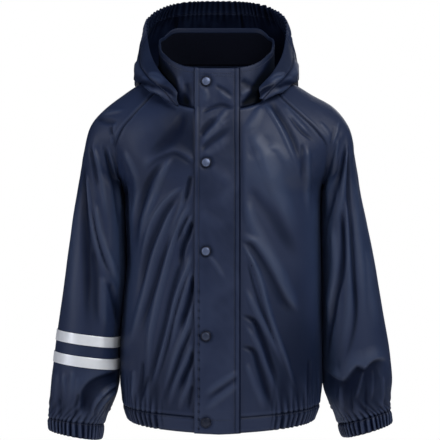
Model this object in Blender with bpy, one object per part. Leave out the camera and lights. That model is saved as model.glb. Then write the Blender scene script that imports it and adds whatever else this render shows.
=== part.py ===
"""Kids raincoat for 5 to 6 years: hood, stand collar, raglan sleeves and a storm flap with five press studs.

Metres, +Z up. The coat hangs as if worn: its front faces -Y and the wearer's left is +X. The origin is
on the middle line, level with the points where the shoulders meet the neck. The tables are in millimetres
and degrees, and rows() turns them to metres. Side panels are worked out with x positive outwards and then
mirrored for the wearer's right. Each panel is a smooth surface lofted through key lines, one for each row
of its table, pushed out or in by its folds, and then given the thickness of the cloth.
"""

import math
from collections import namedtuple

import bmesh
import bpy
import numpy as np

MM = 0.001
SIDES = {"right": -1.0, "left": 1.0}

# ---- Cloth, seams and trims ----
WALL = 0.0015  # coated cloth
SEAM_GAP = 0.0003  # between two sewn pieces
LAY = 0.0004  # between a panel and what lies on it
FLAP_LAY = 0.0012  # under the storm flap, where it passes over the collar seam and the hem
FLAP_WALL = 0.0020  # two layers and their turned edges
TAPE_WALL = 0.0010
LINING_WALL = 0.0011

# ---- Collar ring: a rounded rectangle in a tilted plane, from centre front (0) to centre back (180) ----
NECK_HALF_WIDTH = 0.083
NECK_CORNER = 3.3  # power of the rounded rectangle, 2 would be an ellipse
NECK_TAPER = 0.07  # how much wider the back of the ring is than its front
NECK_LIFT = 0.8  # how far the sides of the ring rise above a flat tilted plane
NECK_SEAM = (-0.0845, 0.0620, -0.0350, 0.0380)  # y at front and back, z at front and back
COLLAR_TOP = (-0.0785, 0.0600, 0.0215, 0.0926)
COLLAR_HEIGHT = 0.0565
COLLAR_RIM = 0.0070  # cloth turned over the top edge to the inside
COLLAR_FRONT_GAP = 0.0004  # half of the closing under the flap
RAGLAN_FRONT = 76.0  # degrees round the ring where the sleeve's front seam meets the neck
RAGLAN_BACK = 105.0
NECK_SHIFT = -0.0035  # the neck sits a little to the wearer's right
NECK_SHIFT_FROM, NECK_SHIFT_TO = -0.085, -0.015  # heights between which that shift comes in

# ---- Fronts and back: one row for each key line from the middle to the raglan or side seam ----
PanelRow = namedtuple("PanelRow", "level middle_y middle_z edge_y edge_z right_x left_x heading reach")
FRONT_ROWS = (
    PanelRow(27, -90.5, -52.0, -57.0, -21.0, 98.0, 96.0, 48, 30),
    PanelRow(57, -95.5, -70.0, -67.0, -43.0, 119.0, 118.0, 42, 36),
    PanelRow(87, -99.5, -88.0, -69.0, -66.0, 138.0, 139.0, 40, 40),
    PanelRow(115, -103.0, -108.0, -61.0, -92.0, 146.5, 153.5, 52, 45),
    PanelRow(150, -106.0, -132.0, -38.0, -123.0, 144.5, 152.0, 70, 55),
    PanelRow(187, -108.0, -158.0, 0.0, -154.0, 137.0, 147.0, 90, 68),
    PanelRow(230, -108.8, -200.0, 0.0, -198.0, 134.5, 146.7, 90, 69),
    PanelRow(279, -109.5, -250.0, 0.0, -246.0, 133.0, 147.6, 90, 69),
    PanelRow(328, -110.5, -300.0, 0.0, -294.0, 137.0, 148.0, 90, 70),
    PanelRow(377, -111.5, -350.0, 0.0, -342.0, 141.2, 148.5, 90, 71),
    PanelRow(426, -111.5, -400.0, 0.0, -390.0, 142.8, 149.0, 90, 71),
    PanelRow(457, -110.5, -432.5, 0.0, -421.5, 142.5, 149.0, 90, 70),
    PanelRow(475, -108.5, -451.5, 0.0, -440.5, 140.5, 147.5, 90, 69),
    PanelRow(490, -106.5, -467.5, 0.0, -456.0, 138.0, 145.0, 90, 67),
    PanelRow(512, -104.5, -489.2, 0.0, -478.5, 130.0, 136.5, 90, 64),
)
BACK_ROWS = (
    PanelRow(27, 72.0, 20.0, 40.0, 10.0, 100.0, 99.0, 50, 28),
    PanelRow(57, 80.5, -4.0, 53.0, -12.0, 118.0, 118.0, 45, 34),
    PanelRow(87, 87.5, -32.0, 60.0, -40.0, 132.0, 134.0, 42, 38),
    PanelRow(115, 93.0, -66.0, 56.0, -75.0, 140.0, 147.0, 50, 42),
    PanelRow(150, 96.5, -110.0, 36.0, -116.0, 141.0, 149.5, 68, 50),
    PanelRow(187, 98.0, -157.0, 0.0, -154.0, 137.0, 147.0, 90, 62),
    PanelRow(230, 97.5, -200.0, 0.0, -198.0, 134.5, 146.7, 90, 61),
    PanelRow(279, 94.0, -250.0, 0.0, -246.0, 133.0, 147.6, 90, 60),
    PanelRow(328, 93.0, -299.0, 0.0, -294.0, 137.0, 148.0, 90, 60),
    PanelRow(377, 94.5, -348.0, 0.0, -342.0, 141.2, 148.5, 90, 60),
    PanelRow(426, 96.5, -397.0, 0.0, -390.0, 142.8, 149.0, 90, 61),
    PanelRow(457, 96.0, -429.0, 0.0, -421.5, 142.5, 149.0, 90, 61),
    PanelRow(475, 93.5, -447.0, 0.0, -440.5, 140.5, 147.5, 90, 60),
    PanelRow(490, 91.0, -462.5, 0.0, -456.0, 138.0, 145.0, 90, 58),
    PanelRow(512, 88.0, -485.0, 0.0, -478.5, 130.0, 136.5, 90, 55),
)
PANEL_FULLNESS = 0.58  # how far a line runs straight from the middle, as a share of its half-width
UNDERARM_LEVEL = 0.187
STITCH_LEVEL = 0.490  # the hem's stitch line
HEM_LEVEL = 0.512
SIDE_SEAM_Y = 0.0

# ---- Sleeve, shoulder part: the ridge that each line passes over between the two raglan seams ----
RidgeRow = namedtuple("RidgeRow", "level x y z heading_front heading_back reach_seam reach_ridge")
RIDGE_ROWS = {
    "right": (
        RidgeRow(27, 108.0, -4.0, 6.5, 52, 55, 24, 24),
        RidgeRow(57, 135.0, 0.0, -11.5, 42, 45, 28, 32),
        RidgeRow(87, 162.5, 1.0, -32.0, 30, 32, 32, 38),
        RidgeRow(115, 183.5, 1.0, -55.0, 4, 6, 34, 44),
        RidgeRow(150, 195.5, 1.0, -94.0, -48, -45, 46, 56),
    ),
    "left": (
        RidgeRow(27, 108.0, -4.0, 7.0, 52, 55, 24, 24),
        RidgeRow(57, 137.5, 0.0, -10.5, 42, 45, 28, 32),
        RidgeRow(87, 169.0, 1.0, -28.5, 30, 32, 32, 36),
        RidgeRow(115, 187.0, 1.0, -53.0, 4, 6, 34, 42),
        RidgeRow(150, 195.5, 1.0, -94.0, -48, -45, 46, 56),
    ),
}

# ---- Sleeve, tube part: the outermost and the innermost point of each line, and half its depth ----
TubeRow = namedtuple("TubeRow", "level outer_x outer_z inner_x inner_z half_depth middle_y")
TUBE_ROWS = {
    "right": (
        TubeRow(187, 204.0, -146.0, 138.6, -154.0, 54.0, 0.0),
        TubeRow(233, 212.3, -195.0, 136.3, -202.0, 56.0, 0.0),
        TubeRow(286, 220.0, -249.0, 135.3, -257.0, 56.5, -1.0),
        TubeRow(336, 226.2, -298.0, 139.3, -307.0, 55.0, -3.0),
        TubeRow(388, 232.8, -348.5, 145.0, -360.0, 52.0, -6.0),
        TubeRow(435, 238.5, -395.0, 146.4, -407.0, 48.0, -9.0),
        TubeRow(465, 242.5, -425.0, 147.6, -437.0, 44.0, -12.0),
        TubeRow(492, 244.5, -452.0, 156.0, -462.0, 36.0, -15.0),
        TubeRow(517, 244.5, -475.4, 167.5, -486.0, 27.0, -17.0),
        TubeRow(539, 242.5, -494.5, 171.5, -508.5, 25.5, -18.0),
    ),
    "left": (
        TubeRow(187, 204.0, -146.0, 148.6, -154.0, 54.0, 0.0),
        TubeRow(233, 213.9, -195.0, 148.5, -202.0, 56.0, 0.0),
        TubeRow(286, 224.5, -249.0, 149.3, -257.0, 56.5, -1.0),
        TubeRow(336, 232.8, -298.0, 149.8, -307.0, 55.0, -3.0),
        TubeRow(388, 240.7, -347.0, 150.4, -360.0, 52.0, -6.0),
        TubeRow(435, 247.5, -393.0, 151.6, -405.0, 48.0, -9.0),
        TubeRow(465, 250.0, -422.0, 153.6, -437.0, 44.0, -12.0),
        TubeRow(492, 247.5, -448.0, 161.5, -461.0, 36.0, -15.0),
        TubeRow(517, 246.0, -465.0, 173.0, -485.0, 27.0, -17.0),
        TubeRow(539, 247.5, -484.5, 180.5, -505.5, 25.5, -18.0),
    ),
}
TUBE_INNER_FULLNESS = 1.48  # handle of the inner side as a share of half the depth: above 4/3 is flatter
TUBE_OUTER_FULLNESS = 1.20
CUFF_LEVEL = 0.517  # the cuff's stitch line
SLEEVE_END = 0.539

# ---- Reflective tapes, by level down the wearer's right sleeve ----
TAPES = {"tape_upper": (0.388, 0.403), "tape_lower": (0.4195, 0.4345)}

# ---- Hood: sections from the neck seam out over the shoulder and up to the opening edge ----
HoodSection = namedtuple("HoodSection", "place neck low floor turn wall top edge")
HOOD_SECTIONS = (
    HoodSection(
        0, (49, -86, -38), (51, -87.2, -38), (53, -88.6, -37), (54.5, -89.8, -34.5),
        (53.5, -90.4, -31), (51, -90.4, -28.5), (48, -90, -27),
    ),
    HoodSection(
        12, (69, -69.5, -16.5), (74.5, -73.5, -19.5), (80, -75, -18), (83, -76.5, -13),
        (79, -79, -8), (68, -80.5, -7), (57, -81.5, -8.5),
    ),
    HoodSection(
        26, (77.5, -52, -4), (88, -54, -6), (98, -53, -5), (104, -50, 0.5),
        (102.5, -49, 9), (92.5, -51, 15.5), (80, -54.5, 19),
    ),
    HoodSection(
        42, (84.5, -11, 20.0), (98.5, -9, 17), (112, -6, 11), (119.5, -4, 13),
        (118, -4, 27), (109.5, -7, 43), (97, -10, 54),
    ),
    HoodSection(
        58, (83.5, 31.5, 34), (99, 38, 19), (113.5, 43, 4), (120.5, 45, 7),
        (118, 44, 38), (111, 40, 70), (103, 35, 98),
    ),
    HoodSection(
        72, (73, 50.5, 39.5), (89.5, 68, 14), (104.5, 88, -9), (112.5, 100, 0),
        (112, 100, 40), (101, 88, 85), (83, 72, 123.5),
    ),
    HoodSection(
        86, (42, 62.5, 41), (50, 83, 9), (58, 111, -22), (62, 132, -8),
        (62, 132, 42), (56, 112, 93), (48, 88, 135.5),
    ),
    HoodSection(
        100, (0, 65.5, 42), (0, 87, 7), (0, 115, -26), (0, 140, -8),
        (0, 139, 45), (0, 118, 98), (0, 92, 137.6),
    ),
)
HOOD_START = {"right": 1.5, "left": 6.0}  # where each front corner begins
HOOD_SEAM = {"right": 84.0, "left": 90.0}  # where the centre panel's seams run
HOOD_BAND = 0.020  # width of the elasticated edge

# ---- Storm flap: x of its free and sewn edges ----
FLAP_FREE_X = -0.0338
FLAP_SEWN_X = 0.0299

# ---- Press studs: turned cap profile (radius, height), and their places down the flap ----
STUD_X = -0.0173
STUD_Z = (0.0030, -0.1120, -0.2350, -0.3530, -0.4720)
STUD_PROFILE = ((0.0, 3.0), (3.0, 2.75), (5.3, 2.0), (6.7, 1.2), (7.25, 0.5), (7.0, 0.0), (0.0, 0.0))
STUD_STEPS = 12
STUD_SEAT = 0.0005

# ---- Folds: smooth ridges (depth above 0) or troughs, by x outwards and z of start, middle and end ----
Fold = namedtuple("Fold", "start_x start_z middle_x middle_z end_x end_z width depth")
FOLDS = {
    "front_right": (
        Fold(50, -98, 90, -132, 112, -190, 20, 6.5),
        Fold(38, -150, 74, -190, 106, -252, 19, 6.5),
        Fold(34, -200, 76, -268, 114, -362, 22, 8.5),
        Fold(34, -268, 64, -336, 97, -430, 20, 8.5),
        Fold(34, -334, 54, -396, 74, -456, 18, 7.0),
    ),
    "front_left": (
        Fold(64, -50, 84, -130, 107, -212, 20, 6.0),
        Fold(38, -150, 66, -184, 98, -222, 15, -4.0),
        Fold(36, -196, 80, -238, 112, -318, 22, 9.0),
        Fold(36, -232, 64, -280, 107, -396, 16, -4.5),
        Fold(34, -262, 70, -346, 114, -452, 19, 8.0),
        Fold(34, -326, 58, -374, 84, -456, 15, -4.5),
        Fold(34, -372, 48, -416, 62, -456, 16, 6.0),
    ),
    "back": (
        Fold(-100, -90, -72, -170, -40, -300, 24, 6.5),
        Fold(-112, -150, -95, -260, -60, -430, 21, 6.5),
        Fold(-60, -110, -20, -200, 15, -330, 24, -5.0),
        Fold(-25, -260, -12, -360, -20, -455, 21, 6.0),
        Fold(100, -85, 78, -160, 30, -270, 24, 6.5),
        Fold(115, -150, 90, -260, 74, -410, 21, 6.5),
        Fold(62, -230, 42, -340, 38, -450, 19, -5.0),
        Fold(10, -320, 14, -390, 12, -456, 17, 5.0),
    ),
    "sleeve_front_right": (
        Fold(191, -126, 204, -200, 208, -311, 15, 5.0),
        Fold(191, -138, 188, -220, 181, -306, 14, -5.0),
        Fold(186, -112, 170, -200, 146, -293, 15, 6.0),
        Fold(172, -88, 157, -165, 144, -237, 14, 4.0),
        Fold(183, -422, 194, -447, 195, -476, 14, -5.0),
        Fold(145, -422, 164, -438, 184, -468, 13, 5.0),
    ),
    "sleeve_front_left": (
        Fold(179, -90, 166, -160, 151, -235, 14, -4.5),
        Fold(176, -186, 168, -285, 154, -398, 15, -6.0),
        Fold(200, -170, 212, -270, 227, -358, 18, 5.5),
        Fold(212, -346, 206, -370, 200, -396, 20, 6.0),
        Fold(185, -416, 205, -406, 232, -406, 13, -4.5),
        Fold(206, -414, 198, -436, 192, -462, 13, 4.5),
    ),
    "sleeve_back": (
        Fold(188, -120, 184, -200, 172, -300, 16, -5.0),
        Fold(170, -110, 160, -190, 150, -270, 15, 5.0),
        Fold(205, -190, 212, -270, 216, -360, 17, 5.5),
        Fold(196, -290, 186, -350, 176, -410, 15, -5.0),
        Fold(200, -410, 198, -440, 196, -476, 14, 4.5),
    ),
    "flap": (
        Fold(30, -42, 2, -50, -26, -72, 10, 1.3),
        Fold(30, -396, 0, -408, -28, -428, 11, 1.4),
    ),
}
FOLD_STEPS = 13  # points along each fold's line
FOLD_FADE_IN, FOLD_FADE_OUT = 0.18, 0.35  # shares of a fold's length over which it comes and goes
UNDER_FLAP = (0.040, 0.052)  # folds on the fronts flatten between these x, where the flap lies on them

# ---- Gathers: wave length and depth of the elasticated edges ----
CUFF_WAVE = 0.0075
HEM_WAVE = 0.0088
HOOD_WAVE = 0.0088
CUFF_DEPTHS = (0.0010, 0.0014)  # at the stitch line and at the free edge
HEM_DEPTHS = (0.0011, 0.0016)
HOOD_DEPTHS = (0.0014, 0.0010)  # at the free edge and at the stitch line
HEM_FLAT_X = {"right": 0.090, "left": 0.100}  # the front hem is flat as far out as this
HOOD_WAVE_FROM, HOOD_WAVE_TO = 0.052, 0.085  # heights between which the hood's gathers come in

# ---- How finely each panel is divided ----
YOKE_LEVELS = np.linspace(0.0, UNDERARM_LEVEL, 10)
BODY_LEVELS = np.concatenate([YOKE_LEVELS, np.linspace(UNDERARM_LEVEL, STITCH_LEVEL, 17)[1:]])
SLEEVE_LEVELS = np.concatenate(
    [
        YOKE_LEVELS,
        np.linspace(UNDERARM_LEVEL, TAPES["tape_upper"][0], 9)[1:],
        [TAPES["tape_upper"][1], TAPES["tape_lower"][0], TAPES["tape_lower"][1]],
        np.linspace(TAPES["tape_lower"][1], CUFF_LEVEL, 5)[1:],
    ]
)
COLUMNS = {"front_right": 18, "front_left": 15, "back": 23, "sleeve": 21, "hood_side": 12, "hood_centre": 7}
HOOD_ROWS = 9
COLLAR_COLUMNS = 41
FINE = 49  # points on a key line before it is divided evenly


def rows(table):
    """Turn a table's lengths from millimetres to metres; headings stay in degrees."""
    lengths = [
        [value if field.startswith("heading") else value * MM for field, value in zip(row._fields, row)]
        for row in table
    ]
    return [type(row)(*values) for row, values in zip(table, lengths)]


def smoothstep(low, high, value):
    """Go smoothly from 0 at low to 1 at high."""
    share = np.clip((value - low) / (high - low), 0.0, 1.0)
    return share * share * (3.0 - 2.0 * share)


def bezier(start, start_handle, end_handle, end, count=FINE):
    """Points along a cubic curve."""
    at = np.linspace(0.0, 1.0, count)[:, None]
    rest = 1.0 - at
    return (
        rest**3 * np.array(start)
        + 3.0 * rest**2 * at * np.array(start_handle)
        + 3.0 * rest * at**2 * np.array(end_handle)
        + at**3 * np.array(end)
    )


def lengths_along(points):
    """Distance of each point from the first, measured along the line."""
    steps = np.linalg.norm(np.diff(points, axis=0), axis=1)
    return np.concatenate([[0.0], np.cumsum(steps)])


def along(points, places):
    """Read a line of points at distances from its start."""
    run = lengths_along(points)
    return np.stack([np.interp(places, run, points[:, axis]) for axis in range(3)], axis=1)


def divide(points, shares):
    """Read a line of points at shares of its length."""
    return along(points, np.asarray(shares) * lengths_along(points)[-1])


def loft(levels, lines, at):
    """Smooth surface through key lines, each at its level, read at other levels."""
    levels, lines, at = np.asarray(levels), np.asarray(lines), np.asarray(at)
    steps = np.diff(levels)
    wide = steps[:, None, None]
    slopes = np.diff(lines, axis=0) / wide
    inner = (slopes[1:] * wide[:-1] + slopes[:-1] * wide[1:]) / (wide[1:] + wide[:-1])
    limit = 3.0 * np.minimum(abs(slopes[1:]), abs(slopes[:-1])) * (slopes[1:] * slopes[:-1] > 0.0)
    tangents = np.concatenate([slopes[:1], np.clip(inner, -limit, limit), slopes[-1:]])
    index = np.clip(np.searchsorted(levels, at, side="right") - 1, 0, len(steps) - 1)
    share = ((at - levels[index]) / steps[index])[:, None, None]
    span = wide[index]
    return (
        (1 + 2 * share) * (1 - share) ** 2 * lines[index]
        + share * (1 - share) ** 2 * span * tangents[index]
        + share**2 * (3 - 2 * share) * lines[index + 1]
        + share**2 * (share - 1) * span * tangents[index + 1]
    )


def smooth_line(points, count=FINE):
    """Smooth line through a few points."""
    points = np.asarray(points, dtype=float)
    run = lengths_along(points)
    return loft(run, points[:, None, :], np.linspace(0.0, run[-1], count))[:, 0, :]


def grid_normals(grid):
    """Unit normals of a grid of points whose rows run down and whose columns run anticlockwise from above."""
    down = np.gradient(grid, axis=0)
    across = np.gradient(grid, axis=1)
    normals = np.cross(down, across)
    return normals / np.linalg.norm(normals, axis=2, keepdims=True)


def trim(grid, top=False, bottom=False, first=False, last=False):
    """Draw chosen edges of a grid back by half a seam gap."""
    grid = grid.copy()
    half = SEAM_GAP / 2.0

    def draw_back(edge, inner):
        step = inner - edge
        return edge + step * (half / np.linalg.norm(step, axis=1, keepdims=True))

    if top:
        grid[0] = draw_back(grid[0], grid[1])
    if bottom:
        grid[-1] = draw_back(grid[-1], grid[-2])
    if first:
        grid[:, 0] = draw_back(grid[:, 0], grid[:, 1])
    if last:
        grid[:, -1] = draw_back(grid[:, -1], grid[:, -2])
    return grid


# ---- The collar's ring and the key lines of each panel ----


def ring_point(angle, rise):
    """Point of the collar at an angle round the neck, from its seam (rise 0) to its top edge (rise 1)."""
    front_y, back_y, front_z, back_z = (
        seam + (top - seam) * rise for seam, top in zip(NECK_SEAM, COLLAR_TOP)
    )
    power = 2.0 / NECK_CORNER
    side = abs(math.sin(math.radians(angle))) ** power
    depth = -math.copysign(abs(math.cos(math.radians(angle))) ** power, math.cos(math.radians(angle)))
    share = (1.0 + depth) / 2.0
    climb = share + NECK_LIFT * share * (1.0 - share)
    return (
        NECK_HALF_WIDTH * side * (1.0 + NECK_TAPER * depth),
        front_y + (back_y - front_y) * share,
        front_z + (back_z - front_z) * climb,
    )


def ring_line(first_angle, last_angle, rise=0.0):
    """Finely divided arc of the collar's ring."""
    return np.array([ring_point(angle, rise) for angle in np.linspace(first_angle, last_angle, FINE)])


def panel_line(row, x, back):
    """Key line of a front or half back, from the middle to its outer edge."""
    outward = -1.0 if back else 1.0
    heading = math.radians(row.heading)
    start = (0.0, row.middle_y, row.middle_z)
    start_handle = (x * PANEL_FULLNESS, row.middle_y, row.middle_z + (row.edge_z - row.middle_z) * 0.3)
    end = (x, row.edge_y, row.edge_z)
    end_handle = (
        x - row.reach * math.cos(heading),
        row.edge_y - outward * row.reach * math.sin(heading),
        row.edge_z - (row.edge_z - row.middle_z) * 0.4,
    )
    return bezier(start, start_handle, end_handle, end)


def panel_surface(table, side, levels, shares, back=False):
    """Front or half back of one side, x outwards, at levels down it and shares of each line across it."""
    if back:
        neck = ring_line(180.0, RAGLAN_BACK)
    else:
        neck = ring_line(0.0, RAGLAN_FRONT)
    lines, places = [divide(neck, shares)], [0.0]
    for row in rows(table):
        x = row.right_x if side == "right" else row.left_x
        lines.append(divide(panel_line(row, x, back), shares))
        places.append(row.level)
    return loft(places, lines, levels)


def ridge_line(front, ridge, back, side):
    """Key line of the sleeve's shoulder part, from the front raglan seam over the ridge to the back one."""
    top = np.array((ridge.x, ridge.y, ridge.z))
    halves = []
    for seam, heading, outward in ((front, ridge.heading_front, 1.0), (back, ridge.heading_back, -1.0)):
        x = seam.right_x if side == "right" else seam.left_x
        angle = math.radians(heading)
        edge = np.array((x, seam.edge_y, seam.edge_z))
        climb = top[2] - edge[2]
        edge_handle = edge + np.array(
            (ridge.reach_seam * math.cos(angle), outward * ridge.reach_seam * math.sin(angle), climb * 0.5)
        )
        top_handle = top - np.array((0.0, outward * ridge.reach_ridge, 0.0))
        halves.append(bezier(edge, edge_handle, top_handle, top))
    return np.concatenate([halves[0], halves[1][-2::-1]])


def tube_line(row):
    """Key line round the sleeve: from its inner side by the front and the outer side back to it."""
    inner = np.array((row.inner_x, SIDE_SEAM_Y, row.inner_z))
    outer = np.array((row.outer_x, row.middle_y, row.outer_z))
    halves = []
    for outward in (-1.0, 1.0):
        depth = outward * row.half_depth
        inner_handle = inner + np.array((0.0, depth * TUBE_INNER_FULLNESS + row.middle_y, 0.0))
        outer_handle = outer + np.array((0.0, depth * TUBE_OUTER_FULLNESS, 0.0))
        halves.append(bezier(inner, inner_handle, outer_handle, outer))
    return np.concatenate([halves[0], halves[1][-2::-1]])


def sleeve_surface(side, levels, shares):
    """Whole sleeve of one side, x outwards, from front seam round the outer side to the back seam."""
    lines = [divide(ring_line(RAGLAN_FRONT, RAGLAN_BACK), shares)]
    places = [0.0]
    for front, ridge, back in zip(rows(FRONT_ROWS), rows(RIDGE_ROWS[side]), rows(BACK_ROWS)):
        lines.append(divide(ridge_line(front, ridge, back, side), shares))
        places.append(ridge.level)
    for row in rows(TUBE_ROWS[side]):
        lines.append(divide(tube_line(row), shares))
        places.append(row.level)
    return loft(places, lines, levels)


# ---- Folds and gathers ----


def fold_height(across, down, folds):
    """Height of a set of folds over points given by two coordinates."""
    height = np.zeros(across.shape)
    for fold in folds:
        start, middle, end = (
            np.array(pair) * MM
            for pair in (fold[0:2], fold[2:4], fold[4:6])
        )
        at = np.linspace(0.0, 1.0, FOLD_STEPS)[:, None]
        line = (
            (1 - at) * (1 - 2 * at) * start + 4 * at * (1 - at) * middle + at * (2 * at - 1) * end
        )
        best = np.full(across.shape, np.inf)
        place = np.zeros(across.shape)
        for index, (near, far) in enumerate(zip(line[:-1], line[1:])):
            step = far - near
            offset_across, offset_down = across - near[0], down - near[1]
            share = np.clip((offset_across * step[0] + offset_down * step[1]) / (step @ step), 0.0, 1.0)
            distance = np.hypot(offset_across - share * step[0], offset_down - share * step[1])
            closer = distance < best
            best = np.where(closer, distance, best)
            place = np.where(closer, (index + share) / (FOLD_STEPS - 1), place)
        bump = np.where(best < fold.width * MM, 0.5 + 0.5 * np.cos(np.pi * best / (fold.width * MM)), 0.0)
        fade = smoothstep(0.0, FOLD_FADE_IN, place + 0.04) * smoothstep(0.0, FOLD_FADE_OUT, 1.0 - place)
        height += fold.depth * MM * bump * fade
    return height


def facing(normals, direction):
    """How much of a surface faces -Y (direction -1) or +Y (direction 1), from 0 to 1."""
    return smoothstep(0.12, 0.5, direction * normals[..., 1])


def hold_edges(shape, top=1, bottom=1, first=2, last=2):
    """Mask that keeps the seam edges of a grid where they are, so that folds die away at a seam."""
    mask = np.ones(shape)
    for row in range(top):
        mask[row] *= row / top
    for row in range(bottom):
        mask[-1 - row] *= row / bottom
    for column in range(first):
        mask[:, column] *= column / first
    for column in range(last):
        mask[:, -1 - column] *= column / last
    return mask


def shift_neck(points):
    """Shift what lies near the neck to the wearer's right."""
    points = points.copy()
    points[..., 0] += NECK_SHIFT * smoothstep(NECK_SHIFT_FROM, NECK_SHIFT_TO, points[..., 2])
    return points


# ---- Meshes and materials ----


def cloth_material(name, colour, roughness, metallic=0.0):
    """Plain material with a colour, a roughness and a metallic value."""
    material = bpy.data.materials.new(name)
    material.use_nodes = True
    shader = material.node_tree.nodes["Principled BSDF"]
    shader.inputs["Base Color"].default_value = (*colour, 1.0)
    shader.inputs["Roughness"].default_value = roughness
    shader.inputs["Metallic"].default_value = metallic
    material.diffuse_color = (*colour, 1.0)
    return material


def finish_object(name, builder, material):
    """Make an object of a bmesh, with its faces turned outwards and shaded smooth."""
    bmesh.ops.recalc_face_normals(builder, faces=builder.faces)
    mesh = bpy.data.meshes.new(name)
    builder.to_mesh(mesh)
    builder.free()
    mesh.shade_smooth()
    mesh.materials.append(material)
    piece = bpy.data.objects.new(name, mesh)
    bpy.context.collection.objects.link(piece)
    return piece


def wall_object(name, outer, inner, material):
    """Closed wall between two grids of the same size."""
    builder = bmesh.new()
    row_count, column_count = outer.shape[:2]
    layers = [[[builder.verts.new(point) for point in line] for line in grid] for grid in (outer, inner)]
    for layer in layers:
        for row in range(row_count - 1):
            for column in range(column_count - 1):
                builder.faces.new(
                    (
                        layer[row][column],
                        layer[row + 1][column],
                        layer[row + 1][column + 1],
                        layer[row][column + 1],
                    )
                )
    rim = [(0, column) for column in range(column_count)]
    rim += [(row, column_count - 1) for row in range(1, row_count)]
    rim += [(row_count - 1, column) for column in range(column_count - 2, -1, -1)]
    rim += [(row, 0) for row in range(row_count - 2, 0, -1)]
    for (row, column), (next_row, next_column) in zip(rim, rim[1:] + rim[:1]):
        builder.faces.new(
            (
                layers[0][row][column],
                layers[0][next_row][next_column],
                layers[1][next_row][next_column],
                layers[1][row][column],
            )
        )
    return finish_object(name, builder, material)


def cloth_piece(name, base, normals, push, material, side=1.0):
    """Wall of cloth on a base grid: its outer face is pushed out by folds, its inner one a wall deeper."""
    outer = base + normals * push[..., None]
    inner = outer - normals * WALL
    mirror = np.array((side, 1.0, 1.0))
    return wall_object(name, shift_neck(outer * mirror), shift_neck(inner * mirror), material)


def refine(grid, steps):
    """Divide each interval between a grid's columns into its number of equal steps."""
    parts = []
    for column, count in enumerate(steps):
        share = np.linspace(0.0, 1.0, count, endpoint=False)[None, :, None]
        near, far = grid[:, column : column + 1], grid[:, column + 1 : column + 2]
        parts.append(near + (far - near) * share)
    return np.concatenate(parts + [grid[:, -1:]], axis=1)


def gathered_band(name, base, normals, strength, length, depths, material, side=1.0):
    """Band of two rows, finely divided and pushed in and out in waves where it is gathered."""
    spans = np.linalg.norm(np.diff(base.mean(axis=0), axis=0), axis=1)
    gathered = np.maximum(strength[1:], strength[:-1]) > 0.0
    counts = np.maximum(1, np.round(spans * 2.0 / length))
    steps = np.where(gathered, counts, 1).astype(int)
    fine = refine(base, steps)
    waves = np.where(np.arange(fine.shape[1]) % 2 == 0, -1.0, 1.0)
    waves *= refine(strength[None, :, None], steps)[0, :, 0]
    waves[0] = waves[-1] = 0.0
    cloth_piece(name, fine, refine(normals, steps), np.outer(depths, waves), material, side)


def even_shares(count):
    """Shares from 0 to 1 in even steps."""
    return np.linspace(0.0, 1.0, count)


# ---- The pieces ----


def back_surface(levels, shares):
    """The whole back, from the wearer's left edge to the right one."""
    left = panel_surface(BACK_ROWS, "left", levels, shares, back=True)[:, ::-1]
    right = panel_surface(BACK_ROWS, "right", levels, shares, back=True)[:, 1:]
    return np.concatenate([left, right * np.array((-1.0, 1.0, 1.0))], axis=1)


def mean_normal(first, second):
    """Unit normals halfway between those of two pieces that meet at a seam."""
    mean = first + second
    return mean / np.linalg.norm(mean, axis=-1, keepdims=True)


def shape_panels():
    """Base grids and normals of the sewn panels, each down to its free edge; neighbours share the normals
    of their seam."""
    levels = np.append(BODY_LEVELS, HEM_LEVEL)
    grids = {"back": back_surface(levels, even_shares((COLUMNS["back"] + 1) // 2))}
    for side in SIDES:
        shares = even_shares(COLUMNS[f"front_{side}"])
        grids[f"front_{side}"] = panel_surface(FRONT_ROWS, side, levels, shares)
        sleeve_levels = np.append(SLEEVE_LEVELS, SLEEVE_END)
        grids[f"sleeve_{side}"] = sleeve_surface(side, sleeve_levels, even_shares(COLUMNS["sleeve"]))
    normals = {name: grid_normals(grid) for name, grid in grids.items()}
    underarm = len(YOKE_LEVELS) - 1
    above, below = slice(0, underarm), slice(underarm, None)
    for side, sign in SIDES.items():
        mirror = np.array((sign, 1.0, 1.0))
        front, sleeve = normals[f"front_{side}"], normals[f"sleeve_{side}"]
        back_edge = normals["back"][:, 0 if side == "left" else -1]
        back_side = back_edge * mirror
        front_seam = mean_normal(front[above, -1], sleeve[above, 0])
        back_seam = mean_normal(back_side[above], sleeve[above, -1])
        side_seam = mean_normal(front[below, -1], back_side[below])
        sleeve_seam = mean_normal(sleeve[below, 0], sleeve[below, -1])
        front[:, -1] = np.concatenate([front_seam, side_seam])
        sleeve[:, 0] = np.concatenate([front_seam, sleeve_seam])
        sleeve[:, -1] = np.concatenate([back_seam, sleeve_seam])
        back_edge[:] = np.concatenate([back_seam, side_seam]) * mirror
        front[:, 0] = mean_normal(front[:, 0], front[:, 0] * np.array((-1.0, 1.0, 1.0)))
    return grids, normals


def fold_push(name, base, normals):
    """How far the folds of a panel push each of its points out; none at its seams."""
    across, down = base[..., 0], base[..., 2]
    if name == "back":
        return fold_height(across, down, FOLDS[name]) * facing(normals, 1.0) * hold_edges(across.shape)
    front_facing = facing(normals, -1.0)
    if name.startswith("front"):
        height = fold_height(across, down, FOLDS[name]) * front_facing
        return height * smoothstep(*UNDER_FLAP, across) * hold_edges(across.shape, first=0)
    height = fold_height(across, down, FOLDS[name.replace("sleeve", "sleeve_front")]) * front_facing
    height += fold_height(across, down, FOLDS["sleeve_back"]) * facing(normals, 1.0)
    return height * hold_edges(across.shape)


def build_panel(name, base, normals, cloth, side=1.0):
    """One front, back or sleeve, from the neck to the stitch line of its gathered end."""
    push = fold_push(name, base[:-1], normals[:-1])
    trimmed = trim(base[:-1], top=True, bottom=True, first=True, last=True)
    cloth_piece(name, trimmed, normals[:-1], push, cloth, side)


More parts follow.
